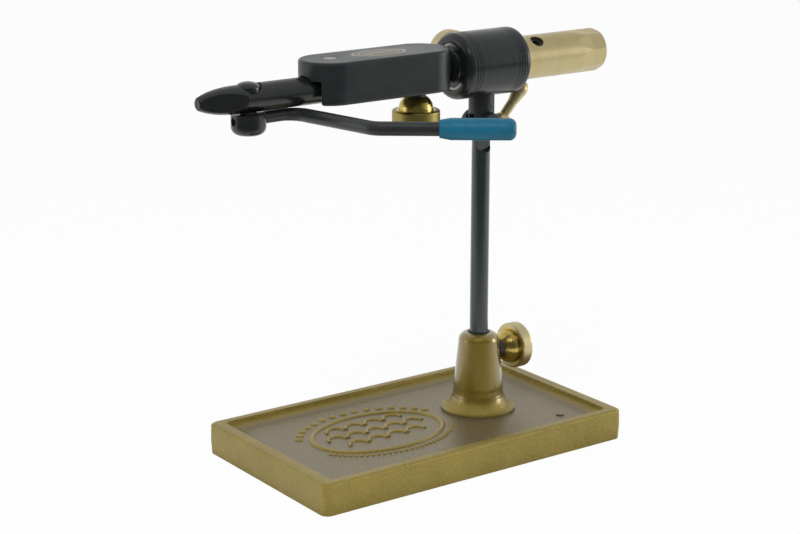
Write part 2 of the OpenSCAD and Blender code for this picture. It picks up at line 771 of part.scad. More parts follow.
module jaw_pin() {
    top_z = axis_z + head_up;
    roof_z = jaw_z + jaw_r + jaw_room;
    foot_z = jaw_z - jaw_r - air - clip_t - air;
    color([0.7, 0.71, 0.73]) translate([head_x, 0, 0]) {
        translate([0, 0, roof_z]) rotate_extrude() polygon(concat([[0, 0], [pin_head_r, 0]],
            arc(pin_head_r - clip_t / 2, top_z - roof_z - clip_t / 2, clip_t / 2, 0, 90, 4),
            [[0, top_z - roof_z]]));
        translate([0, 0, foot_z]) cylinder(r = pin_r, h = roof_z - foot_z + fit);
    }
}

module jaw_clip() {
    z = jaw_z - jaw_r - air - clip_t;
    color([0.6, 0.61, 0.63]) translate([head_x, 0, z]) difference() {
        cylinder(r = pin_r + clip_t + clip_t / 2, h = clip_t);
        translate([0, 0, -over]) cylinder(r = pin_r, h = clip_t + 2 * over);
    }
}

// Compression spring across the jaw tails
spring_wire_r = 0.35;
spring_coil_r = 1.6;
spring_turns = 6;
spring_sides = 6;
spring_steps = 12;
tail_gap = 1.5;
pocket_deep = 3;
spring_x = head_x + tail_len * 0.72;

module jaw_spring() {
    half = tail_gap + pocket_deep - air - spring_wire_r;
    rings = spring_turns * spring_steps;
    pitch = 2 * half / spring_turns;
    echo(spring_gap = pitch - 2 * spring_wire_r);
    points = [for (i = [0:rings]) let (a = i * 360 / spring_steps, y = -half + 2 * half * i / rings)
        for (j = [0:spring_sides - 1]) let (b = j * 360 / spring_sides,
            r = spring_coil_r + spring_wire_r * cos(b))
            [r * cos(a), y + spring_wire_r * sin(b), r * sin(a)]];
    sides = [for (i = [0:rings - 1], j = [0:spring_sides - 1])
        let (a = i * spring_sides + j, b = i * spring_sides + (j + 1) % spring_sides)
        each [[a, b, b + spring_sides], [a, b + spring_sides, a + spring_sides]]];
    caps = [for (j = [1:spring_sides - 2])
        each [[0, j + 1, j], [rings * spring_sides, rings * spring_sides + j,
            rings * spring_sides + j + 1]]];
    color([0.7, 0.71, 0.73]) translate([spring_x, 0, jaw_z])
        polyhedron(points = points, faces = concat(sides, caps));
}

// Radius of the jaw nose at a distance behind its tip
function nose_r(x) = jaw_r - (jaw_r - tip_r) * pow(1 - x / nose_len, 3);

// One half of the split jaw bar. side is -1 for the near jaw and 1 for the far one.
// lift is 1 when its pivot knuckle is the upper one and -1 when it is the lower one.
module jaw_half(side, lift) {
    split = air / 2 + fit;
    length = jaw_reach + tail_len;
    nose_x = tip_x + nose_len;
    flat_x = nose_x - nose_len * 0.05;
    lean = atan((flat_half_w - tip_half_w) / (flat_x - tip_x));
    edge = tip_r / 5;
    knuckle_z = lift > 0 ? jaw_z + split : jaw_z - jaw_r - over;
    clear_z = lift > 0 ? jaw_z - jaw_r - over : jaw_z - split;
    clear_h = lift > 0 ? jaw_r + over + split : jaw_r + over + split;
    seat_r = cam_r + air;
    seat_w = cam_flat + air;
    head_seat_z = jaw_z + sqrt(jaw_r * jaw_r - cam_head_r * cam_head_r);
    difference() {
        union() {
            difference() {
                along_x(tip_x, jaw_z) rotate_extrude($fn = 96)
                    polygon(concat([[0, 0], [tip_r - edge, 0], [nose_r(edge), edge]],
                        [for (i = [1:10]) [nose_r(nose_len * i / 10), nose_len * i / 10]],
                        [[jaw_r, length], [0, length]]));
                // The other half and the split
                translate([tip_x - over, side > 0 ? -2 * jaw_r + split : -split,
                    jaw_z - jaw_r - over])
                    cube([length + 2 * over, 2 * jaw_r, 2 * (jaw_r + over)]);
                // Room for the other half's knuckle
                translate([head_x, 0, clear_z])
                    cylinder(r = jaw_r + air, h = clear_h);
            }
            // Pivot knuckle
            intersection() {
                along_x(head_x - jaw_r, jaw_z) cylinder(r = jaw_r, h = 2 * jaw_r, $fn = 96);
                translate([head_x, 0, knuckle_z])
                    cylinder(r = jaw_r, h = jaw_r + over - (lift > 0 ? 0 : split));
            }
        }
        // Flat on the outside of the nose
        translate([tip_x, side * tip_half_w, jaw_z - jaw_r])
            rotate([0, 0, side * lean])
                translate([-over, side > 0 ? 0 : -jaw_r, 0])
                    cube([flat_x - tip_x + over, jaw_r, 2 * jaw_r]);
        // Seat for the cam section and its head
        intersection() {
            translate([cam_x, 0, jaw_z - jaw_r - over])
                cylinder(r = seat_r, h = 2 * (jaw_r + over));
            translate([cam_x - seat_r, -seat_w, jaw_z - jaw_r - over])
                cube([2 * seat_r, 2 * seat_w, 2 * (jaw_r + over)]);
        }
        translate([cam_x, 0, head_seat_z]) cylinder(r = cam_head_r + air, h = jaw_r);
        // Pivot bore
        translate([head_x, 0, jaw_z - jaw_r - over])
            cylinder(r = pin_r + fit, h = 2 * (jaw_r + over));
        // Relief between the tails and the spring pocket
        translate([head_x + jaw_r + air, -tail_gap, jaw_z - jaw_r - over])
            cube([tail_len, 2 * tail_gap, 2 * (jaw_r + over)]);
        translate([spring_x, -tail_gap - pocket_deep, jaw_z]) rotate([-90, 0, 0])
            cylinder(r = spring_coil_r + spring_wire_r + air, h = 2 * (tail_gap + pocket_deep));
    }
}

module jaw_near() { color([0.12, 0.12, 0.13]) jaw_half(-1, 1); }
module jaw_far() { color([0.12, 0.12, 0.13]) jaw_half(1, -1); }

pin_foot_z = hub_z + hub_h / 3;

module cam_pin() {
    seat_z = jaw_z + sqrt(jaw_r * jaw_r - cam_head_r * cam_head_r) + air;
    rim_h = cam_head_h * 0.3;
    neck_h = hub_top_z - pin_foot_z;
    color([0.14, 0.14, 0.15]) translate([cam_x, 0, 0]) {
        translate([0, 0, seat_z]) rotate_extrude($fn = 64) polygon(concat(
            [[0, 0], [cam_head_r, 0], [cam_head_r, rim_h]],
            [for (t = [15:15:90]) [cam_head_r * cos(t), rim_h + (cam_head_h - rim_h) * sin(t)]]));
        intersection() {
            translate([0, 0, hub_top_z]) cylinder(r = cam_r, h = seat_z - hub_top_z + fit);
            translate([-cam_r, -cam_flat, hub_top_z - over])
                cube([2 * cam_r, 2 * cam_flat, seat_z - hub_top_z + 2 * over]);
        }
        translate([0, 0, pin_foot_z]) cylinder(r = cam_flat, h = neck_h + fit);
    }
}

module at_lever() {
    translate([cam_x, 0, rod_z]) rotate([0, 0, yaw_out]) children();
}

module cam_hub() {
    screw_start = cam_flat;
    color([0.12, 0.12, 0.13]) difference() {
        translate([cam_x, 0, hub_z]) rotate_extrude($fn = 96) polygon(concat([[0, 0]],
            arc(hub_r - hub_edge_r, hub_edge_r, hub_edge_r, -90, 0, 6),
            [[hub_r, hub_h - fit], [0, hub_h - fit]]));
        translate([cam_x, 0, pin_foot_z]) cylinder(r = cam_flat, h = hub_h);
        translate([cam_x, 0, rod_z]) rotate([0, -90, 0])
            translate([0, 0, screw_start]) cylinder(r = hub_screw_r, h = hub_r);
        at_lever() translate([cam_flat + air, 0, rod_r - rod_start_r]) rotate([0, 90, 0])
            cylinder(r = rod_start_r, h = hub_r);
    }
}

module hub_screw() {
    translate([cam_x, 0, rod_z]) rotate([0, -90, 0]) translate([0, 0, cam_flat])
        set_screw(hub_screw_r, hub_r - cam_flat - hub_screw_r / 2);
}

turn_one = yaw_mid - yaw_out;
turn_two = yaw_tail - yaw_mid;
rod_in_grip = grip_len * 0.88;
rod_sides = 24;

function cut_back(angle) = bend_r * tan(abs(angle) / 2);
function ahead(h) = [cos(h), sin(h)];
function aside(h) = [-sin(h), cos(h)];

// Stations [point, heading, radius] round a bend that starts at p with heading h0
function bend_stations(p, h0, h1, n, r0, r1) =
    [for (i = [0:n]) let (h = h0 + (h1 - h0) * i / n)
        [p + sign(h1 - h0) * bend_r * (aside(h0) - aside(h)), h, r0 + (r1 - r0) * i / n]];

// Round rod with two bends, swept along stations, its top line level all along
module lever_rod() {
    start = cam_flat + 2 * air;
    back_one = cut_back(turn_one);
    back_two = cut_back(turn_two);
    first = bend_stations([rod_out - back_one, 0], 0, turn_one, 9, rod_start_r, rod_r);
    mid_len = rod_mid - back_one - back_two;
    second = bend_stations(first[9][0] + mid_len * ahead(turn_one),
        turn_one, turn_one + turn_two, 6, rod_r, rod_r);
    tail_len = rod_tail + rod_in_grip - back_two;
    tail_heading = turn_one + turn_two;
    stations = concat([[[start, 0], 0, rod_start_r]], first, second,
        [[second[6][0] + tail_len * ahead(tail_heading), tail_heading, rod_r]]);
    last = len(stations) - 1;
    points = [for (s = stations) for (j = [0:rod_sides - 1])
        let (b = j * 360 / rod_sides, p = s[0] + s[2] * cos(b) * aside(s[1]))
        [p[0], p[1], rod_r - s[2] + s[2] * sin(b)]];
    walls = [for (i = [0:last - 1], j = [0:rod_sides - 1])
        let (a = i * rod_sides + j, b = i * rod_sides + (j + 1) % rod_sides)
        each [[a, b + rod_sides, b], [a, a + rod_sides, b + rod_sides]]];
    ends = [[for (j = [0:rod_sides - 1]) j],
        [for (j = [rod_sides - 1:-1:0]) last * rod_sides + j]];
    color([0.25, 0.27, 0.3]) at_lever()
        polyhedron(points = points, faces = concat(walls, ends));
}

module lever_grip() {
    end_r = grip_r * 0.6;
    color([0.1, 0.42, 0.55]) at_lever() translate([rod_out, 0, 0]) rotate([0, 0, turn_one])
        translate([rod_mid, 0, 0]) rotate([0, 0, turn_two]) translate([rod_tail, 0, 0])
            rotate([0, 90, 0]) rotate_extrude($fn = 64) polygon(concat(
                [[rod_r, 0], [grip_lip_r, 0], [grip_r, grip_len * 0.15]],
                arc(grip_r - end_r, grip_len - end_r, end_r, 0, 90, 6),
                [[0, grip_len], [0, rod_in_grip + air], [rod_r, rod_in_grip + air]]));
}

base_casting();
stem_ring();
base_knob();
base_knob_stud();
stem();
neck();
pivot_bolt();
pivot_nut();
neck_pin();
clamp_boss();
clamp_lever();
rotary_housing();
front_outer_race();
front_inner_race();
front_shields();
front_balls();
rear_outer_race();
rear_inner_race();
rear_shields();
rear_balls();
drag_knob();
drag_knob_stud();
drag_tip();
spindle();
rotary_handle();
handle_screw();
head_case();
head_knob();
head_knob_stud();
jaw_pin();
jaw_clip();
jaw_spring();
jaw_near();
jaw_far();
cam_pin();
cam_hub();
hub_screw();
lever_rod();
lever_grip();
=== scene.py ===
"""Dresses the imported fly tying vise: its finishes, its fine pieces and a plain studio."""

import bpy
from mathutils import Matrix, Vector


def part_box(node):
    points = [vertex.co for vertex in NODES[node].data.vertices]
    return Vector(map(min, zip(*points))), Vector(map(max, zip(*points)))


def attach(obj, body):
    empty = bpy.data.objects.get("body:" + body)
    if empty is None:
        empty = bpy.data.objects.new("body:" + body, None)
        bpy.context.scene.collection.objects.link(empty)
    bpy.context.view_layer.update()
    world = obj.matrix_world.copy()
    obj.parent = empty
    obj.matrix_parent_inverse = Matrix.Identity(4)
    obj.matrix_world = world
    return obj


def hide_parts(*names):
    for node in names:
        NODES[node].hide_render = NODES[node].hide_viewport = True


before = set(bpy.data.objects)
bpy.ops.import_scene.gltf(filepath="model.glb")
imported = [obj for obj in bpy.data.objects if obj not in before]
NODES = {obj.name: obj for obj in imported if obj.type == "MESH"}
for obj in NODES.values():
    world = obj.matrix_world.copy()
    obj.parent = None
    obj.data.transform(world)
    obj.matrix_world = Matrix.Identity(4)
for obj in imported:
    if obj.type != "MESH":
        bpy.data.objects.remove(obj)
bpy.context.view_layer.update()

import math

import bpy
from mathutils import Matrix, Vector

bl_info = {
    "name": "Fly Tying Vise Dressing",
    "version": (1, 0, 0),
    "blender": (4, 5, 0),
    "location": "View3D > Sidebar > Vise",
    "description": "Finishes, fine pieces and studio for the fly tying vise",
    "category": "Object",
}

MM = 0.001


# Places worked out from the frame

def middle(node):
    """Centre of a CAD node's box, in metres."""
    low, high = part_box(node)
    return (low + high) / 2


def radius_across(node, axis):
    """Largest half extent of a node square to an axis index."""
    low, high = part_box(node)
    return max((high[i] - low[i]) / 2 for i in range(3) if i != axis)


SPIN_AXIS = middle("rotary_housing")
STEM_AXIS = middle("stem")
HEAD_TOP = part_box("head_case")[1].z
BASE_LOW, BASE_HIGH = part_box("base_casting")
BASE_HALF = ((BASE_HIGH.x - BASE_LOW.x) / 2, (BASE_HIGH.y - BASE_LOW.y) / 2)
X_AXIS = (1.0, 0.0, 0.0)
Y_AXIS = (0.0, 1.0, 0.0)
Z_AXIS = (0.0, 0.0, 1.0)

# Edges sharper than this stay sharp when a piece is smoothed
SMOOTH_ANGLE = math.radians(35)

# Parts of their range that the noises and the smudges really fill
NOISE_SPAN = (0.3, 0.7)
MOTTLE_SPAN = (0.35, 0.65)
SMUDGE_SPAN = (0.3, 0.75)

# Studio: each lamp's name, place, width, height and watts
KEY_LAMP = "Key Light"
LAMPS = (
    (KEY_LAMP, (-0.9, -0.7, 1.5), 1.4, 1.4, 19.0),
    ("Top Softbox", (-0.6, -0.8, 1.5), 1.0, 0.5, 2.6),
    ("Right Softbox", (1.35, -0.72, 0.25), 0.5, 0.8, 5.5),
    ("Left Softbox", (-1.3, 0.6, 0.25), 0.5, 0.8, 1.6),
)
LAMP_AIM = Vector((0.0, 0.0, 0.12))
WHITE = (1.0, 1.0, 1.0, 1.0)
FLOOR_GREY = (0.86, 0.86, 0.86, 1.0)
FLOOR_DROP = 0.2 * MM
# Share of white where the floor is seen, the rest being its shadows
FLOOR_WHITE = 0.94
# Reflections of the floor: where it darkens towards the camera, and how far it does
NEAR_END = (0.12, 0.4)
NEAR_LEVEL = 0.12
# Reflections of the shadow close round the casting: its level, reach and narrower ends
SHADE_LEVEL = 0.4
SHADE_REACH = 20.0 * MM
SHADE_ENDS = 3.0
# Light of the room on matt surfaces
ROOM_LIGHT = 0.48
# Reflections of the room: from its far side to the camera's side, and up to the ceiling
ROOM_SPAN, ROOM_LEVELS = (0.0, 0.7), (0.9, 0.12)
CEILING_SPAN, CEILING_LEVELS = (0.3, 0.9), (1.0, 0.7)


# Node building helpers

def add_node(tree, kind, **inputs):
    """Adds a shader node and sets the inputs named, with underscores for spaces."""
    node = tree.nodes.new(kind)
    for name, value in inputs.items():
        node.inputs[name.replace("_", " ")].default_value = value
    return node


def math_node(tree, operation, first, second=None):
    """A Math node over two sockets or numbers. Returns its output."""
    node = tree.nodes.new("ShaderNodeMath")
    node.operation = operation
    for index, value in enumerate((first, second)):
        if value is None:
            continue
        if isinstance(value, (int, float)):
            node.inputs[index].default_value = value
        else:
            tree.links.new(value, node.inputs[index])
    return node.outputs[0]


def vector_math(tree, operation, first, second=None):
    """A Vector Math node over two sockets or triples. Returns the node."""
    node = tree.nodes.new("ShaderNodeVectorMath")
    node.operation = operation
    for index, value in enumerate((first, second)):
        if value is None:
            continue
        if isinstance(value, (tuple, list, Vector)):
            node.inputs[index].default_value = tuple(value)
        else:
            tree.links.new(value, node.inputs[index])
    return node


def remap(tree, value, low, high, to_low, to_high):
    """Maps a value from one range to another, clamped."""
    node = add_node(tree, "ShaderNodeMapRange", From_Min=low, From_Max=high,
                    To_Min=to_low, To_Max=to_high)
    tree.links.new(value, node.inputs["Value"])
    return node.outputs["Result"]


def mix_colour(tree, factor, first, second):
    """Mixes two colours, each a socket or three values, by a factor socket."""
    node = tree.nodes.new("ShaderNodeMix")
    node.data_type = "RGBA"
    tree.links.new(factor, node.inputs[0])
    for index, value in ((6, first), (7, second)):
        if isinstance(value, bpy.types.NodeSocket):
            tree.links.new(value, node.inputs[index])
        else:
            node.inputs[index].default_value = (*value, 1.0)
    return node.outputs[2]


def noise(tree, vector, scale, detail=3.0, roughness=0.55):
    """A noise texture over a vector socket. Returns its value output."""
    node = add_node(tree, "ShaderNodeTexNoise", Scale=scale, Detail=detail, Roughness=roughness)
    tree.links.new(vector, node.inputs["Vector"])
    return node.outputs["Fac"]


# Shared effects

def new_group(name, inputs, outputs):
    """An empty shader group with its sockets. Returns group, input node and output node."""
    group = bpy.data.node_groups.new(name, "ShaderNodeTree")
    for socket_name, kind, value in inputs:
        socket = group.interface.new_socket(socket_name, in_out="INPUT", socket_type=kind)
        if value is not None:
            socket.default_value = value
    for socket_name in outputs:
        group.interface.new_socket(socket_name, in_out="OUTPUT", socket_type="NodeSocketFloat")
    return group, group.nodes.new("NodeGroupInput"), group.nodes.new("NodeGroupOutput")


def turned_lines_group():
    """Lathe rings round an axis: fine lines that change along it and outwards from it."""
    name = "Turned Lines"
    if name in bpy.data.node_groups:
        return bpy.data.node_groups[name]
    group, source, sink = new_group(name, [
        ("Vector", "NodeSocketVector", None),
        ("Centre", "NodeSocketVector", (0.0, 0.0, 0.0)),
        ("Axis", "NodeSocketVector", X_AXIS),
        ("Lines per Metre", "NodeSocketFloat", 3000.0)],
        ["Lines", "Chatter", "Radius"])
    arm = vector_math(group, "SUBTRACT", source.outputs["Vector"], source.outputs["Centre"])
    along = vector_math(group, "DOT_PRODUCT", arm.outputs[0], source.outputs["Axis"])
    square = math_node(group, "POWER", along.outputs["Value"], 2.0)
    length = vector_math(group, "LENGTH", arm.outputs[0])
    reach = math_node(group, "POWER", length.outputs["Value"], 2.0)
    out = math_node(group, "SQRT", math_node(group, "ABSOLUTE",
                    math_node(group, "SUBTRACT", reach, square)))
    place = group.nodes.new("ShaderNodeCombineXYZ")
    group.links.new(along.outputs["Value"], place.inputs["X"])
    group.links.new(out, place.inputs["Y"])
    scaled = vector_math(group, "SCALE", place.outputs[0])
    group.links.new(source.outputs["Lines per Metre"], scaled.inputs["Scale"])
    group.links.new(noise(group, scaled.outputs[0], 1.0, 2.0), sink.inputs["Lines"])
    group.links.new(noise(group, scaled.outputs[0], 0.12, 1.0), sink.inputs["Chatter"])
    group.links.new(out, sink.inputs["Radius"])
    return group


def cast_skin_group():
    """Sand-cast skin: fine grain, broad mottling and a few pits."""
    name = "Cast Skin"
    if name in bpy.data.node_groups:
        return bpy.data.node_groups[name]
    group, source, sink = new_group(name, [
        ("Vector", "NodeSocketVector", None),
        ("Grains per Metre", "NodeSocketFloat", 1600.0)],
        ["Grain", "Mottle", "Pits"])
    scaled = vector_math(group, "SCALE", source.outputs["Vector"])
    group.links.new(source.outputs["Grains per Metre"], scaled.inputs["Scale"])
    group.links.new(noise(group, scaled.outputs[0], 1.0, 4.0, 0.65), sink.inputs["Grain"])
    group.links.new(noise(group, scaled.outputs[0], 0.03, 3.0), sink.inputs["Mottle"])
    cells = add_node(group, "ShaderNodeTexVoronoi", Scale=0.22)
    group.links.new(scaled.outputs[0], cells.inputs["Vector"])
    pits = remap(group, cells.outputs["Distance"], 0.0, 0.25, 1.0, 0.0)
    group.links.new(pits, sink.inputs["Pits"])
    return group


def handling_group():
    """Marks of use: soft smudges."""
    name = "Handling Marks"
    if name in bpy.data.node_groups:
        return bpy.data.node_groups[name]
    group, source, sink = new_group(name, [
        ("Vector", "NodeSocketVector", None),
        ("Smudges per Metre", "NodeSocketFloat", 60.0)],
        ["Smudge"])
    scaled = vector_math(group, "SCALE", source.outputs["Vector"])
    group.links.new(source.outputs["Smudges per Metre"], scaled.inputs["Scale"])
    group.links.new(noise(group, scaled.outputs[0], 1.0, 4.0, 0.6), sink.inputs["Smudge"])
    return group


def use_group(tree, group, coords, **inputs):
    """Places a shared effect in a material and feeds it coordinates."""
    node = tree.nodes.new("ShaderNodeGroup")
    node.node_tree = group
    tree.links.new(coords, node.inputs["Vector"])
    for name, value in inputs.items():
        node.inputs[name.replace("_", " ")].default_value = value
    return node


# Materials

def new_material(name, **values):
    """A Principled material with plain values. Returns material, tree, shader, coordinates."""
    material = bpy.data.materials.new(name)
    material.use_nodes = True
    tree = material.node_tree
    shader = tree.nodes["Principled BSDF"]
    for key, value in values.items():
        socket = shader.inputs[key.replace("_", " ")]
        socket.default_value = (*value, 1.0) if isinstance(value, tuple) else value
    coords = tree.nodes.new("ShaderNodeTexCoord").outputs["Object"]
    return material, tree, shader, coords


def add_bump(tree, shader, height, distance, strength=1.0):
    """Drives the shader's normal by a height socket."""
    bump = add_node(tree, "ShaderNodeBump", Distance=distance, Strength=strength)
    tree.links.new(height, bump.inputs["Height"])
    tree.links.new(bump.outputs["Normal"], shader.inputs["Normal"])


def turned_metal(name, colour, shade, roughness, centre, axis, metallic=1.0,
                 lines=2600.0, depth=0.006 * MM, coat=0.0, gleam=0.5, brushed=None):
    """Metal turned on a lathe: rings in its colour, gloss and relief, with handling marks.

    brushed gives the radius from which the piece is brushed, and its colour there; on the head
    knob that colour is a darker brass that paints shade.
    """
    material, tree, shader, coords = new_material(
        name, Metallic=metallic, Coat_Weight=coat, Coat_Roughness=0.12, Specular_IOR_Level=gleam)
    rings = use_group(tree, turned_lines_group(), coords, Centre=tuple(centre), Axis=axis,
                      Lines_per_Metre=lines)
    marks = use_group(tree, handling_group(), coords)
    toned = mix_colour(tree, remap(tree, rings.outputs["Chatter"], *NOISE_SPAN, 0.0, 1.0),
                       colour, shade)
    base_gloss = remap(tree, rings.outputs["Lines"], *NOISE_SPAN,
                       roughness * 0.8, roughness * 1.25)
    smudged = remap(tree, marks.outputs["Smudge"], 0.35, 0.75, 0.0, roughness * 0.35)
    gloss = math_node(tree, "ADD", base_gloss, smudged)
    if brushed:
        start, satin_and_shade = brushed
        fade, extra_roughness = 0.5 * MM, 0.17
        outer = remap(tree, rings.outputs["Radius"], start, start + fade, 0.0, 1.0)
        # Brushed rim colour: satin brass, and on the head knob a darker brass painted as shade
        toned = mix_colour(tree, outer, toned, satin_and_shade)
        gloss = math_node(tree, "ADD", gloss, math_node(tree, "MULTIPLY", outer, extra_roughness))
    tree.links.new(toned, shader.inputs["Base Color"])
    tree.links.new(gloss, shader.inputs["Roughness"])
    add_bump(tree, shader, rings.outputs["Lines"], depth)
    return material


def oval_plate(tree, coords, oval, ground):
    """Tan oval lines with plain reeding inside them, on the flat top of the head."""
    place, long_half, wide_half, line, field = oval
    # Lines and field as shares of the oval's radius, reeding in waves per metre
    outer_line, inner_line, field_edge, reed_edge = 0.95, 0.74, 0.97, 0.6
    reed_waves = 4800.0
    arm = vector_math(tree, "SUBTRACT", coords, place)
    flat = vector_math(tree, "MULTIPLY", arm.outputs[0], (1 / long_half, 1 / wide_half, 0.0))
    reach = vector_math(tree, "LENGTH", flat.outputs[0]).outputs["Value"]
    axes = tree.nodes.new("ShaderNodeSeparateXYZ")
    tree.links.new(arm.outputs[0], axes.inputs[0])
    on_top = remap(tree, axes.outputs["Z"], -0.3 * MM, -0.2 * MM, 0.0, 1.0)

    def band(value, at, half):
        """One where a value is near another, and soft at its edges."""
        off = math_node(tree, "ABSOLUTE", math_node(tree, "SUBTRACT", value, at))
        return remap(tree, off, half, half * 1.6, 1.0, 0.0)

    wave = math_node(tree, "SINE", math_node(tree, "MULTIPLY", axes.outputs["X"], reed_waves))
    reeds = math_node(tree, "MULTIPLY", remap(tree, wave, 0.1, 0.5, 0.0, 1.0),
                      band(axes.outputs["Y"], 0.0, wide_half * 0.3))
    inner = math_node(tree, "MULTIPLY", reeds,
                      remap(tree, reach, reed_edge, reed_edge * 1.1, 1.0, 0.0))
    lines = math_node(tree, "MAXIMUM", band(reach, outer_line, 0.035),
                      band(reach, inner_line, 0.02))
    drawn = math_node(tree, "MULTIPLY", math_node(tree, "MAXIMUM", lines, inner), on_top)
    inside = math_node(tree, "MULTIPLY", remap(tree, reach, field_edge, 1.0, 1.0, 0.0), on_top)
    return mix_colour(tree, drawn, mix_colour(tree, inside, ground, field), line)


def coated_metal(name, colour, worn, roughness, metallic=0.0, gleam=0.5, oval=None):
    """Satin coating: a fine stipple and soft smudges, with an oval on it if one is given."""
    material, tree, shader, coords = new_material(
        name, Metallic=metallic, Specular_IOR_Level=gleam)
    skin = use_group(tree, cast_skin_group(), coords, Grains_per_Metre=7000.0)
    marks = use_group(tree, handling_group(), coords, Smudges_per_Metre=45.0)
    cloudy = mix_colour(tree, remap(tree, marks.outputs["Smudge"], *SMUDGE_SPAN, 0.0, 1.0),
                        colour, worn)
    if oval:
        cloudy = oval_plate(tree, coords, oval, cloudy)
    tree.links.new(cloudy, shader.inputs["Base Color"])
    soft = remap(tree, marks.outputs["Smudge"], *SMUDGE_SPAN, roughness * 0.85, roughness * 1.2)
    grainy = remap(tree, skin.outputs["Grain"], *NOISE_SPAN, -0.04, 0.04)
    tree.links.new(math_node(tree, "ADD", soft, grainy), shader.inputs["Roughness"])
    add_bump(tree, shader, skin.outputs["Grain"], 0.008 * MM, 0.6)
    return material


def cast_bronze(colours, sizes):
    """Bronze-gold paint over a sand casting, smoother on the boss; its greyer tone on the tray
    floor is partly a painted sheen, and its darker gold on the boss partly a painted dark
    reflection.
    """
    material, tree, shader, coords = new_material("Cast Bronze Paint", Metallic=0.5,
                                                  Specular_IOR_Level=0.5, Coat_Roughness=0.16,
                                                  Coat_IOR=1.7)
    skin = use_group(tree, cast_skin_group(), coords, Grains_per_Metre=1300.0)
    coarse = use_group(tree, cast_skin_group(), coords, Grains_per_Metre=420.0)
    rings = use_group(tree, turned_lines_group(), coords, Centre=tuple(STEM_AXIS), Axis=Z_AXIS,
                      Lines_per_Metre=1800.0)
    axes = tree.nodes.new("ShaderNodeSeparateXYZ")
    tree.links.new(coords, axes.inputs[0])

    # Masks: the low part inside the rim is the tray, what is above the rim is the boss
    tray = remap(tree, axes.outputs["Z"], sizes.tray_floor + 0.3 * MM,
                 sizes.tray_floor + 1.2 * MM, 1.0, 0.0)
    for name, half in zip("XY", BASE_HALF):
        wall = half - sizes.rim_width
        inside = remap(tree, math_node(tree, "ABSOLUTE", axes.outputs[name]),
                       wall, wall + 2.0 * MM, 1.0, 0.0)
        tray = math_node(tree, "MULTIPLY", inside, tray)
    boss = remap(tree, axes.outputs["Z"], sizes.rim_top, sizes.rim_top + 3.0 * MM, 0.0, 1.0)

    def by_height(below, above):
        """A value that changes from the sandy casting below to the boss above."""
        return remap(tree, boss, 0.0, 1.0, below, above)

    toned = mix_colour(tree, remap(tree, skin.outputs["Mottle"], *MOTTLE_SPAN, 0.0, 1.0),
                       colours.bronze, colours.bronze_dark)
    # Greyer tone on the tray floor: its paint, with a painted sheen of the white room in it
    toned = mix_colour(tree, tray, toned, colours.tray_paint_and_sheen)
    # Darker gold on the boss: its paint, with a painted dark reflection of the room in it
    toned = mix_colour(tree, by_height(0.0, 0.85), toned, colours.boss_paint_and_reflection)
    speck = math_node(tree, "MULTIPLY", by_height(1.0, 0.1),
                      remap(tree, skin.outputs["Grain"], 0.5, 0.72, 0.0, 0.5))
    tree.links.new(mix_colour(tree, speck, toned, colours.bronze_fleck),
                   shader.inputs["Base Color"])
    gloss = remap(tree, skin.outputs["Grain"], *NOISE_SPAN, 0.24, 0.4)
    tree.links.new(math_node(tree, "MULTIPLY", by_height(1.0, 0.8), gloss),
                   shader.inputs["Roughness"])

    # Clear lacquer on the boss, which shows at its sides
    edge = add_node(tree, "ShaderNodeLayerWeight", Blend=0.5).outputs["Facing"]
    lacquer = math_node(tree, "MULTIPLY", by_height(0.0, 1.0),
                        remap(tree, edge, 0.08, 0.35, 0.1, 1.0))
    tree.links.new(lacquer, shader.inputs["Coat Weight"])

    # Sand grain and pits below, turned rings on the boss
    height = math_node(tree, "SUBTRACT", skin.outputs["Grain"],
                       math_node(tree, "MULTIPLY", skin.outputs["Pits"], 0.3))
    height = math_node(tree, "ADD", height, coarse.outputs["Grain"])
    rough = math_node(tree, "MULTIPLY", by_height(1.0, 0.05),
                      remap(tree, tray, 0.0, 1.0, 1.0, 0.4))
    turned = math_node(tree, "MULTIPLY", by_height(0.0, 0.06), rings.outputs["Lines"])
    relief = math_node(tree, "ADD", math_node(tree, "MULTIPLY", height, rough), turned)
    add_bump(tree, shader, relief, 0.3 * MM, 0.9)
    return material


def rubbed_relief(colours):
    """Gold paint rubbed onto the raised relief, mottled where it is thin."""
    material, tree, shader, coords = new_material("Rubbed Relief Paint", Metallic=0.3,
                                                  Specular_IOR_Level=0.5)
    skin = use_group(tree, cast_skin_group(), coords, Grains_per_Metre=1500.0)
    tree.links.new(mix_colour(tree, remap(tree, skin.outputs["Mottle"], *MOTTLE_SPAN, 0.0, 1.0),
                              colours.relief_paint, colours.bronze_dark),
                   shader.inputs["Base Color"])
    tree.links.new(remap(tree, skin.outputs["Grain"], *NOISE_SPAN, 0.26, 0.42),
                   shader.inputs["Roughness"])
    add_bump(tree, shader, skin.outputs["Grain"], 0.16 * MM, 0.6)
    return material


def dipped_vinyl(colours):
    """Dipped vinyl sleeve: slightly wavy and cloudy, with a soft sheen."""
    material, tree, shader, coords = new_material(
        "Dipped Vinyl", Metallic=0.0, Specular_IOR_Level=0.35)
    marks = use_group(tree, handling_group(), coords, Smudges_per_Metre=140.0)
    skin = use_group(tree, cast_skin_group(), coords, Grains_per_Metre=3500.0)
    tree.links.new(mix_colour(tree, remap(tree, marks.outputs["Smudge"], 0.35, 0.7, 0.0, 1.0),
                              colours.grip, colours.grip_dark),
                   shader.inputs["Base Color"])
    tree.links.new(remap(tree, marks.outputs["Smudge"], *NOISE_SPAN, 0.3, 0.44),
                   shader.inputs["Roughness"])
    wave = math_node(tree, "ADD", marks.outputs["Smudge"],
                     math_node(tree, "MULTIPLY", skin.outputs["Grain"], 0.12))
    add_bump(tree, shader, wave, 0.25 * MM, 0.6)
    return material


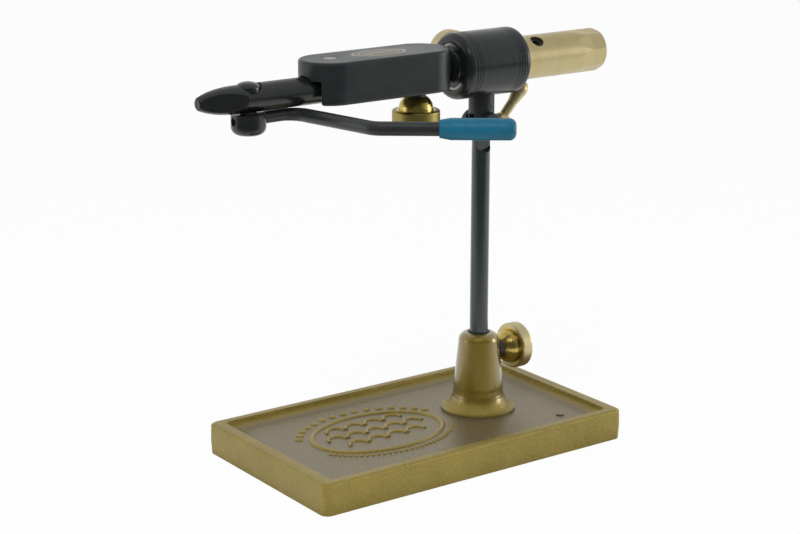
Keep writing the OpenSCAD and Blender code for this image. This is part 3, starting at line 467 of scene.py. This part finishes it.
def moulded(name, colour, shade, roughness):
    """Rubber or nylon: a fine moulded grain."""
    material, tree, shader, coords = new_material(name, Metallic=0.0)
    skin = use_group(tree, cast_skin_group(), coords, Grains_per_Metre=5000.0)
    tree.links.new(mix_colour(tree, remap(tree, skin.outputs["Mottle"], *MOTTLE_SPAN, 0.0, 1.0),
                              colour, shade), shader.inputs["Base Color"])
    tree.links.new(remap(tree, skin.outputs["Grain"], *NOISE_SPAN,
                         roughness * 0.85, roughness * 1.15),
                   shader.inputs["Roughness"])
    add_bump(tree, shader, skin.outputs["Grain"], 0.02 * MM, 0.5)
    return material


def dress(material, *nodes):
    """Gives a material to CAD nodes."""
    for name in nodes:
        slots = NODES[name].material_slots
        if slots:
            slots[0].material = material
        else:
            NODES[name].data.materials.append(material)


# Piece helpers

def select_only(*pieces):
    """Leaves only these pieces selected, with the first one active."""
    bpy.ops.object.select_all(action="DESELECT")
    for piece in pieces:
        piece.select_set(True)
    bpy.context.view_layer.objects.active = pieces[0]


def cut_away(place, normal):
    """Cuts the active piece off behind a plane and closes the cut."""
    bpy.ops.object.mode_set(mode="EDIT")
    bpy.ops.mesh.select_all(action="SELECT")
    bpy.ops.mesh.bisect(plane_co=place, plane_no=normal, use_fill=True, clear_inner=True)
    bpy.ops.mesh.select_all(action="SELECT")
    bpy.ops.mesh.normals_make_consistent(inside=False)
    bpy.ops.object.mode_set(mode="OBJECT")


# Settings

class ViseColours(bpy.types.PropertyGroup):
    """Colours of the vise's finishes, linear."""

    def tint(name, description, default):
        return bpy.props.FloatVectorProperty(name=name, description=description, default=default,
                                             subtype="COLOR", size=3, min=0.0, max=1.0)

    bronze: tint("Bronze", "Gold paint of the base", (0.3, 0.228, 0.045))
    bronze_dark: tint("Dark bronze", "Gold paint where it is thin", (0.245, 0.18, 0.032))
    bronze_fleck: tint("Fleck", "Bright flecks in the gold paint", (0.48, 0.385, 0.15))
    # Painted reflection: the boss's gold is darkened for the dark room it reflects
    boss_paint_and_reflection: tint("Boss paint", "Darker gold paint of the boss", (0.2, 0.135, 0.014))
    # Painted sheen: the tray floor's paint is made greyer for the white room it reflects
    tray_paint_and_sheen: tint("Tray paint", "Greyer paint of the tray floor", (0.18, 0.147, 0.085))
    relief_paint: tint("Relief paint", "Gold rubbed onto the raised relief", (0.3, 0.225, 0.06))
    brass: tint("Brass", "Polished brass", (0.62, 0.48, 0.15))
    brass_dark: tint("Dark brass", "Brass in the tool marks", (0.52, 0.39, 0.1))
    lever: tint("Lever brass", "Cast brass of the clamp lever", (0.5, 0.41, 0.2))
    # Painted shade: the head knob's rim brass is darker than the other knobs' rims, for the shade
    # under the head
    knob_painted_shade: tint("Shaded brass", "Duller brass of the head knob", (0.33, 0.27, 0.08))
    pale_brass: tint("Pale brass", "Brushed rims of the knobs", (0.62, 0.53, 0.3))
    handle_brass: tint("Handle brass", "Brushed brass of the rear handle", (0.54, 0.455, 0.245))
    handle_dark: tint("Dull brass", "Duller brass of the rear handle", (0.505, 0.425, 0.22))
    steel: tint("Steel", "Bright steel", (0.3, 0.285, 0.25))
    steel_dark: tint("Dark steel", "Steel in the tool marks", (0.2, 0.19, 0.165))
    blued: tint("Blued steel", "Dark blued steel of the stem", (0.007, 0.017, 0.02))
    blued_dark: tint("Deep blue", "Stem where the blueing is thickest", (0.005, 0.012, 0.014))
    black: tint("Black", "Satin black coating", (0.01, 0.0135, 0.0135))
    black_deep: tint("Deep black", "Black coating in the tool marks", (0.006, 0.0085, 0.0085))
    black_worn: tint("Handled black", "Black coating where it is handled", (0.017, 0.021, 0.021))
    oxide: tint("Black oxide", "Gloss black of the jaws", (0.008, 0.0095, 0.0095))
    oxide_dark: tint("Dark oxide", "Jaw finish in the tool marks", (0.005, 0.006, 0.006))
    rod: tint("Rod", "Dark steel of the squeeze lever", (0.032, 0.036, 0.034))
    rod_dark: tint("Dark rod", "Rod steel in the tool marks", (0.02, 0.023, 0.021))
    grip: tint("Grip", "Blue vinyl", (0.004, 0.115, 0.195))
    grip_dark: tint("Dark grip", "Blue vinyl where it is thicker", (0.003, 0.092, 0.158))
    rubber: tint("Rubber", "Black rubber", (0.01, 0.01, 0.011))
    nylon: tint("Nylon", "White nylon", (0.75, 0.73, 0.66))
    plate: tint("Plate line", "Tan line of the oval on the head", (0.34, 0.29, 0.19))
    plate_field: tint("Plate field", "Dark field inside the oval on the head", (0.05, 0.05, 0.043))


class ViseSizes(bpy.types.PropertyGroup):
    """Sizes of the dressing that the frame does not give."""

    rim_width: bpy.props.FloatProperty(name="Rim width", default=5.4 * MM, unit="LENGTH",
                                       description="Width of the base rim along its long sides")
    relief_long: bpy.props.FloatProperty(name="Relief length", default=74.0 * MM, unit="LENGTH",
                                         description="Length of the oval relief on the tray")
    relief_wide: bpy.props.FloatProperty(name="Relief width", default=50.0 * MM, unit="LENGTH",
                                         description="Width of the oval relief on the tray")
    relief_ahead: bpy.props.FloatProperty(name="Relief place", default=25.0 * MM, unit="LENGTH",
                                          description="Distance of the relief before the middle")
    relief_high: bpy.props.FloatProperty(name="Relief height", default=0.9 * MM, unit="LENGTH",
                                         description="Height of the relief above the tray")
    plate_long: bpy.props.FloatProperty(name="Oval length", default=31.0 * MM, unit="LENGTH",
                                        description="Length of the oval on the head's top")
    plate_wide: bpy.props.FloatProperty(name="Oval width", default=15.5 * MM, unit="LENGTH",
                                        description="Width of the oval on the head's top")
    plate_back: bpy.props.FloatProperty(name="Oval place", default=-24.0 * MM, unit="LENGTH",
                                        description="Place of the oval along the head")
    tray_floor: bpy.props.FloatProperty(name="Tray floor", default=12.5 * MM, unit="LENGTH",
                                        description="Height of the tray floor above the table")
    foot_out: bpy.props.FloatProperty(name="Foot draft", default=1.2 * MM, unit="LENGTH",
                                      description="Widening of the casting at its foot")
    top_in: bpy.props.FloatProperty(name="Top draft", default=1.2 * MM, unit="LENGTH",
                                    description="Rounding in of the casting at its top edge")
    draft_band: bpy.props.FloatProperty(name="Draft band", default=3.0 * MM, unit="LENGTH",
                                        description="How far in the casting's draft fades out")
    arm_lean: bpy.props.FloatProperty(name="Arm lean", default=math.radians(27),
                                      subtype="ANGLE", description="Lean of the clamp arm")
    arm_back: bpy.props.FloatProperty(name="Arm reach back", default=7.5 * MM, unit="LENGTH",
                                      description="Extra reach of the clamp arm backwards")
    arm_half: bpy.props.FloatProperty(name="Arm tip radius", default=3.2 * MM, unit="LENGTH",
                                      description="Radius of the clamp arm at its tip")
    arm_up: bpy.props.FloatProperty(name="Arm reach up", default=5.0 * MM, unit="LENGTH",
                                    description="Extra reach of the clamp arm upwards")
    rim_top: bpy.props.FloatProperty(name="Rim top", default=17.0 * MM, unit="LENGTH",
                                     description="Height above which the casting is smoother")
    floor_size: bpy.props.FloatProperty(name="Floor size", default=8.0, unit="LENGTH",
                                        description="Side of the studio floor")
    camera_azimuth: bpy.props.FloatProperty(name="Camera azimuth", default=math.radians(-35.66),
                                            subtype="ANGLE", description="Turn of the camera")
    camera_elevation: bpy.props.FloatProperty(name="Camera elevation",
                                              default=math.radians(15.606), subtype="ANGLE",
                                              description="Height angle of the camera")
    camera_roll: bpy.props.FloatProperty(name="Camera roll", default=math.radians(0.0575),
                                         subtype="ANGLE", description="Roll of the camera")
    camera_distance: bpy.props.FloatProperty(name="Camera distance", default=1.03478,
                                             unit="LENGTH", description="Range of the camera")
    camera_side: bpy.props.FloatProperty(name="Camera side shift", default=-0.00892,
                                         unit="LENGTH", description="Camera shift to its right")
    camera_rise: bpy.props.FloatProperty(name="Camera rise", default=0.09229,
                                         unit="LENGTH", description="Camera shift upwards")
    focal_length: bpy.props.FloatProperty(name="Focal length", default=89.53, unit="CAMERA",
                                          description="Lens focal length in millimetres")
    film_width: bpy.props.FloatProperty(name="Film width", default=36.0, unit="CAMERA",
                                        description="Width of the film in millimetres")


# Operators

class VISE_OT_stage(bpy.types.Operator):
    """Sets the floor, the soft lights and the photograph's camera"""
    bl_idname = "vise.stage"
    bl_label = "Studio"

    def execute(self, context):
        sizes = context.scene.vise_sizes
        self.to_camera = (math.sin(sizes.camera_azimuth), -math.cos(sizes.camera_azimuth), 0.0)
        self.add_camera(context, sizes)
        self.add_floor(sizes)
        self.add_world(context)
        for lamp in LAMPS:
            self.add_light(context, *lamp)
        context.scene.view_settings.view_transform = "Standard"
        return {"FINISHED"}

    def add_camera(self, context, sizes):
        """Sets the camera where the photograph was taken from."""
        az, el = sizes.camera_azimuth, sizes.camera_elevation
        back = Vector((math.sin(az) * math.cos(el), -math.cos(az) * math.cos(el), math.sin(el)))
        right = Vector((math.cos(az), math.sin(az), 0.0))
        up = back.cross(right)
        turn = Matrix.Rotation(sizes.camera_roll, 3, back)
        right, up = turn @ right, turn @ up
        place = back * sizes.camera_distance + right * sizes.camera_side + up * sizes.camera_rise
        data = bpy.data.cameras.new("Photo Camera")
        data.lens = sizes.focal_length
        data.sensor_fit = "HORIZONTAL"
        data.sensor_width = sizes.film_width
        camera = bpy.data.objects.new("Photo Camera", data)
        basis = Matrix((right, up, back)).transposed().to_4x4()
        basis.translation = place
        camera.matrix_world = basis
        context.scene.collection.objects.link(camera)
        context.scene.camera = camera

    def add_floor(self, sizes):
        """Lays a white floor that keeps the vise's shadow."""
        bpy.ops.object.select_all(action="DESELECT")
        bpy.ops.mesh.primitive_plane_add(size=sizes.floor_size, location=(0.0, 0.0, -FLOOR_DROP))
        floor = bpy.context.object
        floor.name = "Studio_Floor"
        material = bpy.data.materials.new("White Sweep")
        material.use_nodes = True
        tree = material.node_tree
        tree.nodes.remove(tree.nodes["Principled BSDF"])
        diffuse = add_node(tree, "ShaderNodeBsdfDiffuse", Color=FLOOR_GREY)
        glow = tree.nodes.new("ShaderNodeEmission")
        path = tree.nodes.new("ShaderNodeLightPath")
        seen = math_node(tree, "MAXIMUM", path.outputs["Is Camera Ray"],
                         path.outputs["Is Transmission Ray"])
        # Reflections show the table's near end darker
        coords = tree.nodes.new("ShaderNodeTexCoord").outputs["Object"]
        toward = vector_math(tree, "DOT_PRODUCT", coords, self.to_camera).outputs["Value"]
        shiny = math_node(tree, "MULTIPLY", path.outputs["Is Glossy Ray"],
                          remap(tree, toward, *NEAR_END, 1.0, NEAR_LEVEL))
        # They also show the shadow close round the casting, which is narrower at its ends
        axes = tree.nodes.new("ShaderNodeSeparateXYZ")
        tree.links.new(coords, axes.inputs[0])
        past = [math_node(tree, "SUBTRACT", math_node(tree, "ABSOLUTE", axes.outputs[name]), half)
                for name, half in (("X", BASE_HIGH.x), ("Y", BASE_HIGH.y))]
        clear = math_node(tree, "MAXIMUM", math_node(tree, "MULTIPLY", past[0], SHADE_ENDS),
                          past[1])
        shiny = math_node(tree, "MULTIPLY", shiny,
                          remap(tree, clear, 0.0, SHADE_REACH, SHADE_LEVEL, 1.0))
        tree.links.new(math_node(tree, "MAXIMUM", seen, shiny), glow.inputs["Strength"])
        any_seen = math_node(tree, "MAXIMUM", seen, path.outputs["Is Glossy Ray"])
        mix = tree.nodes.new("ShaderNodeMixShader")
        tree.links.new(math_node(tree, "MULTIPLY", any_seen, FLOOR_WHITE), mix.inputs[0])
        tree.links.new(diffuse.outputs[0], mix.inputs[1])
        tree.links.new(glow.outputs[0], mix.inputs[2])
        tree.links.new(mix.outputs[0], tree.nodes["Material Output"].inputs["Surface"])
        floor.data.materials.append(material)

    def add_world(self, context):
        """Puts a white room round the vise."""
        world = bpy.data.worlds.new("White Room")
        world.use_nodes = True
        tree = world.node_tree
        background = tree.nodes["Background"]
        background.inputs["Color"].default_value = WHITE
        # White where it is seen; reflections show a dimmer ceiling and camera side
        path = tree.nodes.new("ShaderNodeLightPath")
        way = tree.nodes.new("ShaderNodeTexCoord").outputs["Generated"]
        facing = vector_math(tree, "DOT_PRODUCT", way, self.to_camera).outputs["Value"]
        rising = vector_math(tree, "DOT_PRODUCT", way, Z_AXIS).outputs["Value"]
        room = math_node(tree, "MULTIPLY", remap(tree, facing, *ROOM_SPAN, *ROOM_LEVELS),
                         remap(tree, rising, *CEILING_SPAN, *CEILING_LEVELS))
        room = math_node(tree, "MULTIPLY", path.outputs["Is Glossy Ray"], room)
        seen = math_node(tree, "MAXIMUM", path.outputs["Is Camera Ray"],
                         path.outputs["Is Transmission Ray"])
        lit = math_node(tree, "MULTIPLY", path.outputs["Is Diffuse Ray"], ROOM_LIGHT)
        tree.links.new(math_node(tree, "MAXIMUM", math_node(tree, "MAXIMUM", room, seen), lit),
                       background.inputs["Strength"])
        context.scene.world = world

    def add_light(self, context, name, place, wide, tall, power):
        """Hangs a soft lamp. The key lamp lights the vise but isn't seen in reflections."""
        data = bpy.data.lights.new(name, "AREA")
        data.shape = "RECTANGLE"
        data.size, data.size_y = wide, tall
        data.energy = power
        light = bpy.data.objects.new(name, data)
        light.location = place
        aim = LAMP_AIM - Vector(place)
        light.rotation_euler = aim.to_track_quat("-Z", "Y").to_euler()
        light.visible_glossy = name != KEY_LAMP
        context.scene.collection.objects.link(light)


class VISE_OT_base_finish(bpy.types.Operator):
    """Paints the casting and dresses the seal ring"""
    bl_idname = "vise.base_finish"
    bl_label = "Base finish"

    def execute(self, context):
        colours = context.scene.vise_colours
        dress(cast_bronze(colours, context.scene.vise_sizes), "base_casting")
        dress(moulded("Black Rubber", colours.rubber, colours.rubber, 0.5), "stem_ring")
        return {"FINISHED"}


class VISE_OT_softened_shapes(bpy.types.Operator):
    """Gives the casting its draft and the clamp lever its long bent arm"""
    bl_idname = "vise.softened_shapes"
    bl_label = "Softened shapes"

    def execute(self, context):
        sizes = context.scene.vise_sizes
        casting = self.copy_of("base_casting", "Base_Casting_Drafted")
        self.draft(casting, sizes)
        self.settle(casting, "base_casting")
        lever = self.copy_of("clamp_lever", "Clamp_Lever_Bent")
        self.bend(lever, sizes)
        self.settle(lever, "clamp_lever")
        return {"FINISHED"}

    def copy_of(self, node, name):
        """A copy of a CAD node with its own mesh and the same finish."""
        piece = NODES[node].copy()
        piece.data = NODES[node].data.copy()
        piece.name = piece.data.name = name
        bpy.context.scene.collection.objects.link(piece)
        return piece

    def settle(self, piece, node):
        """Smooths the copy and lets it stand for its node."""
        select_only(piece)
        if piece.data.has_custom_normals:
            bpy.ops.mesh.customdata_custom_splitnormals_clear()
        bpy.ops.object.shade_smooth_by_angle(angle=SMOOTH_ANGLE)
        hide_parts(node)

    def draft(self, piece, sizes):
        """Widens the casting's sides at the foot and rounds them in at the top."""
        # Heights above the table, each with how far the side stands out there
        steps = ((0.0, sizes.foot_out), (3.0 * MM, sizes.foot_out * 0.6),
                 (14.0 * MM, -sizes.top_in * 0.3), (16.2 * MM, -sizes.top_in))
        for vertex in piece.data.vertices:
            high = vertex.co.z
            if high > steps[-1][0]:
                continue
            for (low, out_low), (top, out_top) in zip(steps, steps[1:]):
                if high <= top:
                    break
            shift = out_low + (out_top - out_low) * (high - low) / (top - low)
            for axis in range(2):
                past = abs(vertex.co[axis]) - (BASE_HALF[axis] - sizes.draft_band)
                weight = min(max(past / sizes.draft_band, 0.0), 1.0)
                vertex.co[axis] += math.copysign(shift * weight, vertex.co[axis])

    def bend(self, piece, sizes):
        """Carries the lever's arm on, up behind the housing's end."""
        low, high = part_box("clamp_lever")
        # The arm starts above the hub, and is at its full thickness a third of the way up
        start = low.z + (high.z - low.z) * 0.35
        thicker, full_at = 0.3, 1 / 3
        tip_x = high.x - sizes.arm_half
        foot_x = tip_x - (high.z - start) * math.tan(sizes.arm_lean)
        centre_y = (low.y + high.y) / 2
        for vertex in piece.data.vertices:
            share = min(max((vertex.co.z - start) / (high.z - start), 0.0), 1.0)
            centre_x = foot_x + (tip_x - foot_x) * share
            wide = 1.0 + thicker * min(share / full_at, 1.0)
            vertex.co.y = centre_y + (vertex.co.y - centre_y) * wide
            vertex.co.x = centre_x + (vertex.co.x - centre_x) * wide + sizes.arm_back * share
            vertex.co.z += sizes.arm_up * share


class VISE_OT_tray_relief(bpy.types.Operator):
    """Raises a plain oval of scales and beads on the tray floor"""
    bl_idname = "vise.tray_relief"
    bl_label = "Tray relief"

    def execute(self, context):
        sizes = context.scene.vise_sizes
        self.floor, self.high = sizes.tray_floor, sizes.relief_high
        self.centre = Vector((-sizes.relief_ahead, 0.0, 0.0))
        long_half, wide_half = sizes.relief_long / 2, sizes.relief_wide / 2
        material = rubbed_relief(context.scene.vise_colours)
        border = self.half_round_ring(wide_half, half_wide=1.1 * MM, segments=144)
        border.data.transform(Matrix.Diagonal((long_half / wide_half, 1.0, 1.0, 1.0)))
        border.data.transform(Matrix.Translation(self.centre))
        self.finish_piece(border, "Tray_Relief_Border", material)
        self.finish_piece(self.scales(), "Tray_Relief_Scales", material)
        far = self.beads((long_half + 6.0 * MM, wide_half + 7.0 * MM), radius=2.1 * MM,
                         arc=(24.0, 156.0), count=15)
        near = self.beads((long_half + 5.0 * MM, wide_half + 5.0 * MM), radius=1.1 * MM,
                          arc=(206.0, 334.0), count=31)
        self.finish_piece(self.joined([far, near]), "Tray_Relief_Beads", material)
        return {"FINISHED"}

    def half_round_ring(self, radius, half_wide, segments):
        """A low rounded ring standing on the tray floor round the z axis."""
        bpy.ops.object.select_all(action="DESELECT")
        bpy.ops.mesh.primitive_torus_add(major_segments=segments, minor_segments=16,
                                         major_radius=radius, minor_radius=half_wide)
        ring = bpy.context.object
        self.seat(ring, half_wide)
        return ring

    def seat(self, piece, half_high):
        """Flattens a piece to the relief's height and cuts it off just below the floor."""
        piece.data.transform(Matrix.Diagonal((1.0, 1.0, self.high / half_high, 1.0)))
        piece.data.transform(Matrix.Translation((0.0, 0.0, self.floor)))
        cut_away((0.0, 0.0, self.floor - 0.3 * MM), Z_AXIS)

    def scales(self):
        """Rows of half rings, set like roof tiles."""
        radius, pitch = 5.2 * MM, 11.8 * MM
        middle_row, outer_rows = 1.0 * MM, (-9.6 * MM, 11.6 * MM)
        first = self.half_round_ring(radius, half_wide=1.0 * MM, segments=48)
        cut_away((0.0, 0.0, 0.0), Y_AXIS)
        places = [((i - 2) * pitch, middle_row) for i in range(5)]
        places += [((i - 1.5) * pitch, row) for i in range(4) for row in outer_rows]
        return self.repeated(first, places)

    def beads(self, halves, radius, arc, count):
        """Low beads along an arc of an oval, from its two half widths and its two angles."""
        bpy.ops.object.select_all(action="DESELECT")
        bpy.ops.mesh.primitive_uv_sphere_add(segments=24, ring_count=12, radius=radius)
        first = bpy.context.object
        self.seat(first, radius)
        start, stop = arc
        places = []
        for i in range(count):
            turn = math.radians(start + (stop - start) * i / (count - 1))
            places.append((halves[0] * math.cos(turn), halves[1] * math.sin(turn)))
        return self.repeated(first, places)

    def repeated(self, first, places):
        """Copies a piece to places round the relief's centre and joins the copies."""
        pieces = []
        for x, y in places:
            piece = first.copy()
            piece.data = first.data.copy()
            piece.data.transform(Matrix.Translation(self.centre + Vector((x, y, 0.0))))
            bpy.context.scene.collection.objects.link(piece)
            pieces.append(piece)
        bpy.data.objects.remove(first)
        return self.joined(pieces)

    def joined(self, pieces):
        """Joins pieces into the first one."""
        select_only(*pieces)
        bpy.ops.object.join()
        return pieces[0]

    def finish_piece(self, piece, name, material):
        """Names, smooths and paints a piece, and lets it ride on the base."""
        piece.name = piece.data.name = name
        select_only(piece)
        bpy.ops.object.shade_smooth_by_angle(angle=SMOOTH_ANGLE)
        piece.data.materials.clear()
        piece.data.materials.append(material)
        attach(piece, "base")


class VISE_OT_steel_finish(bpy.types.Operator):
    """Dresses the stem, pins, bearings and springs in steel"""
    bl_idname = "vise.steel_finish"
    bl_label = "Steel finishes"

    def execute(self, context):
        colours = context.scene.vise_colours
        bright, dark = colours.steel, colours.steel_dark
        dress(turned_metal("Blued Stem", colours.blued, colours.blued_dark, 0.17, STEM_AXIS,
                           Z_AXIS, metallic=0.0, lines=5200.0, depth=0.003 * MM, coat=0.5,
                           gleam=0.6), "stem")
        dress(turned_metal("Turned Pin Steel", bright, dark, 0.24, middle("jaw_pin"), Z_AXIS),
              "jaw_pin", "jaw_clip", "jaw_spring")
        dress(turned_metal("Cross Pin Steel", colours.rod, colours.rod_dark, 0.3,
                           middle("neck_pin"), Y_AXIS, metallic=0.3), "neck_pin")
        dress(turned_metal("Ground Race Steel", bright, dark, 0.2, SPIN_AXIS, X_AXIS),
              "front_outer_race", "front_inner_race", "front_balls",
              "rear_outer_race", "rear_inner_race", "rear_balls")
        return {"FINISHED"}


class VISE_OT_black_finish(bpy.types.Operator):
    """Dresses the housing, head case, neck and small hardware in black"""
    bl_idname = "vise.black_finish"
    bl_label = "Black finishes"

    def execute(self, context):
        colours, sizes = context.scene.vise_colours, context.scene.vise_sizes
        black, worn = colours.black, colours.black_worn
        oval = ((sizes.plate_back, 0.0, HEAD_TOP), sizes.plate_long / 2, sizes.plate_wide / 2,
                colours.plate, colours.plate_field)
        dress(coated_metal("Satin Black Head", black, worn, 0.36, gleam=0.4, oval=oval),
              "head_case")
        dress(coated_metal("Satin Black Neck", black, worn, 0.34, gleam=0.4), "neck")
        dress(turned_metal("Turned Black Coat", black, colours.black_deep, 0.2, SPIN_AXIS, X_AXIS,
                           metallic=0.0, lines=1800.0), "rotary_housing", "spindle",
              "front_shields", "rear_shields")
        for node, axis in (("base_knob_stud", X_AXIS), ("clamp_boss", X_AXIS),
                           ("pivot_bolt", Y_AXIS), ("pivot_nut", Y_AXIS),
                           ("drag_knob_stud", Y_AXIS), ("head_knob_stud", Z_AXIS),
                           ("handle_screw", Z_AXIS), ("hub_screw", X_AXIS)):
            dress(turned_metal("Black Oxide " + node, black, worn, 0.28, middle(node), axis,
                               metallic=0.0), node)
        dress(moulded("Nylon", colours.nylon, colours.nylon, 0.45), "drag_tip")
        return {"FINISHED"}


class VISE_OT_brass_finish(bpy.types.Operator):
    """Dresses the knobs, the clamp lever and the rear handle in brass"""
    bl_idname = "vise.brass_finish"
    bl_label = "Brass finishes"

    def execute(self, context):
        colours = context.scene.vise_colours
        dress(coated_metal("Cast Brass Lever", colours.lever, colours.pale_brass, 0.36,
                           metallic=0.8), "clamp_lever")
        # Each knob: its axis and the colour of its brushed rim; the head knob's rim is a darker
        # copy of the brass, painted shade under the head
        for node, axis, rim in (("base_knob", X_AXIS, colours.pale_brass),
                                ("drag_knob", Y_AXIS, colours.pale_brass),
                                ("head_knob", Z_AXIS, colours.knob_painted_shade)):
            brushed_from = radius_across(node, axis.index(1.0)) * 0.8
            dress(turned_metal("Polished Brass " + node, colours.brass, colours.brass_dark, 0.2,
                               middle(node), axis, lines=3400.0, brushed=(brushed_from, rim)),
                  node)
        dress(turned_metal("Brushed Handle Brass", colours.handle_brass, colours.handle_dark, 0.3,
                           SPIN_AXIS, X_AXIS, lines=4200.0), "rotary_handle")
        return {"FINISHED"}


class VISE_OT_jaw_finish(bpy.types.Operator):
    """Dresses the jaws, the cam, the lever rod and its grip"""
    bl_idname = "vise.jaw_finish"
    bl_label = "Jaw and lever finishes"

    def execute(self, context):
        colours = context.scene.vise_colours
        bar = (middle("jaw_near") + middle("jaw_far")) / 2
        for name, centre, axis, nodes in (
                ("Gloss Black Jaw", bar, X_AXIS, ("jaw_near", "jaw_far")),
                ("Gloss Black Cam", middle("cam_hub"), Z_AXIS, ("cam_pin", "cam_hub"))):
            dress(turned_metal(name, colours.oxide, colours.oxide_dark, 0.2, centre, axis,
                               metallic=0.0, lines=1500.0, coat=0.15), *nodes)
        dress(coated_metal("Dark Rod Steel", colours.rod, colours.rod_dark, 0.3, metallic=0.3),
              "lever_rod")
        dress(dipped_vinyl(colours), "lever_grip")
        return {"FINISHED"}


class VISE_PT_panel(bpy.types.Panel):
    """Lists the steps that dress the vise"""
    bl_idname = "VISE_PT_panel"
    bl_label = "Fly Tying Vise"
    bl_space_type = "VIEW_3D"
    bl_region_type = "UI"
    bl_category = "Vise"

    def draw(self, context):
        for operator in STEPS:
            self.layout.operator(operator.bl_idname)
        for settings in (context.scene.vise_sizes, context.scene.vise_colours):
            for name in settings.__annotations__:
                self.layout.prop(settings, name)


STEPS = (VISE_OT_stage, VISE_OT_base_finish, VISE_OT_tray_relief, VISE_OT_steel_finish,
         VISE_OT_black_finish, VISE_OT_brass_finish, VISE_OT_jaw_finish,
         VISE_OT_softened_shapes)
CLASSES = (ViseColours, ViseSizes, *STEPS, VISE_PT_panel)


def register():
    for item in CLASSES:
        bpy.utils.register_class(item)
    bpy.types.Scene.vise_colours = bpy.props.PointerProperty(type=ViseColours)
    bpy.types.Scene.vise_sizes = bpy.props.PointerProperty(type=ViseSizes)


def unregister():
    del bpy.types.Scene.vise_sizes
    del bpy.types.Scene.vise_colours
    for item in reversed(CLASSES):
        bpy.utils.unregister_class(item)


def main():
    register()
    for operator in STEPS:
        group, name = operator.bl_idname.split(".")
        getattr(getattr(bpy.ops, group), name)()


if __name__ == "__main__":
    main()
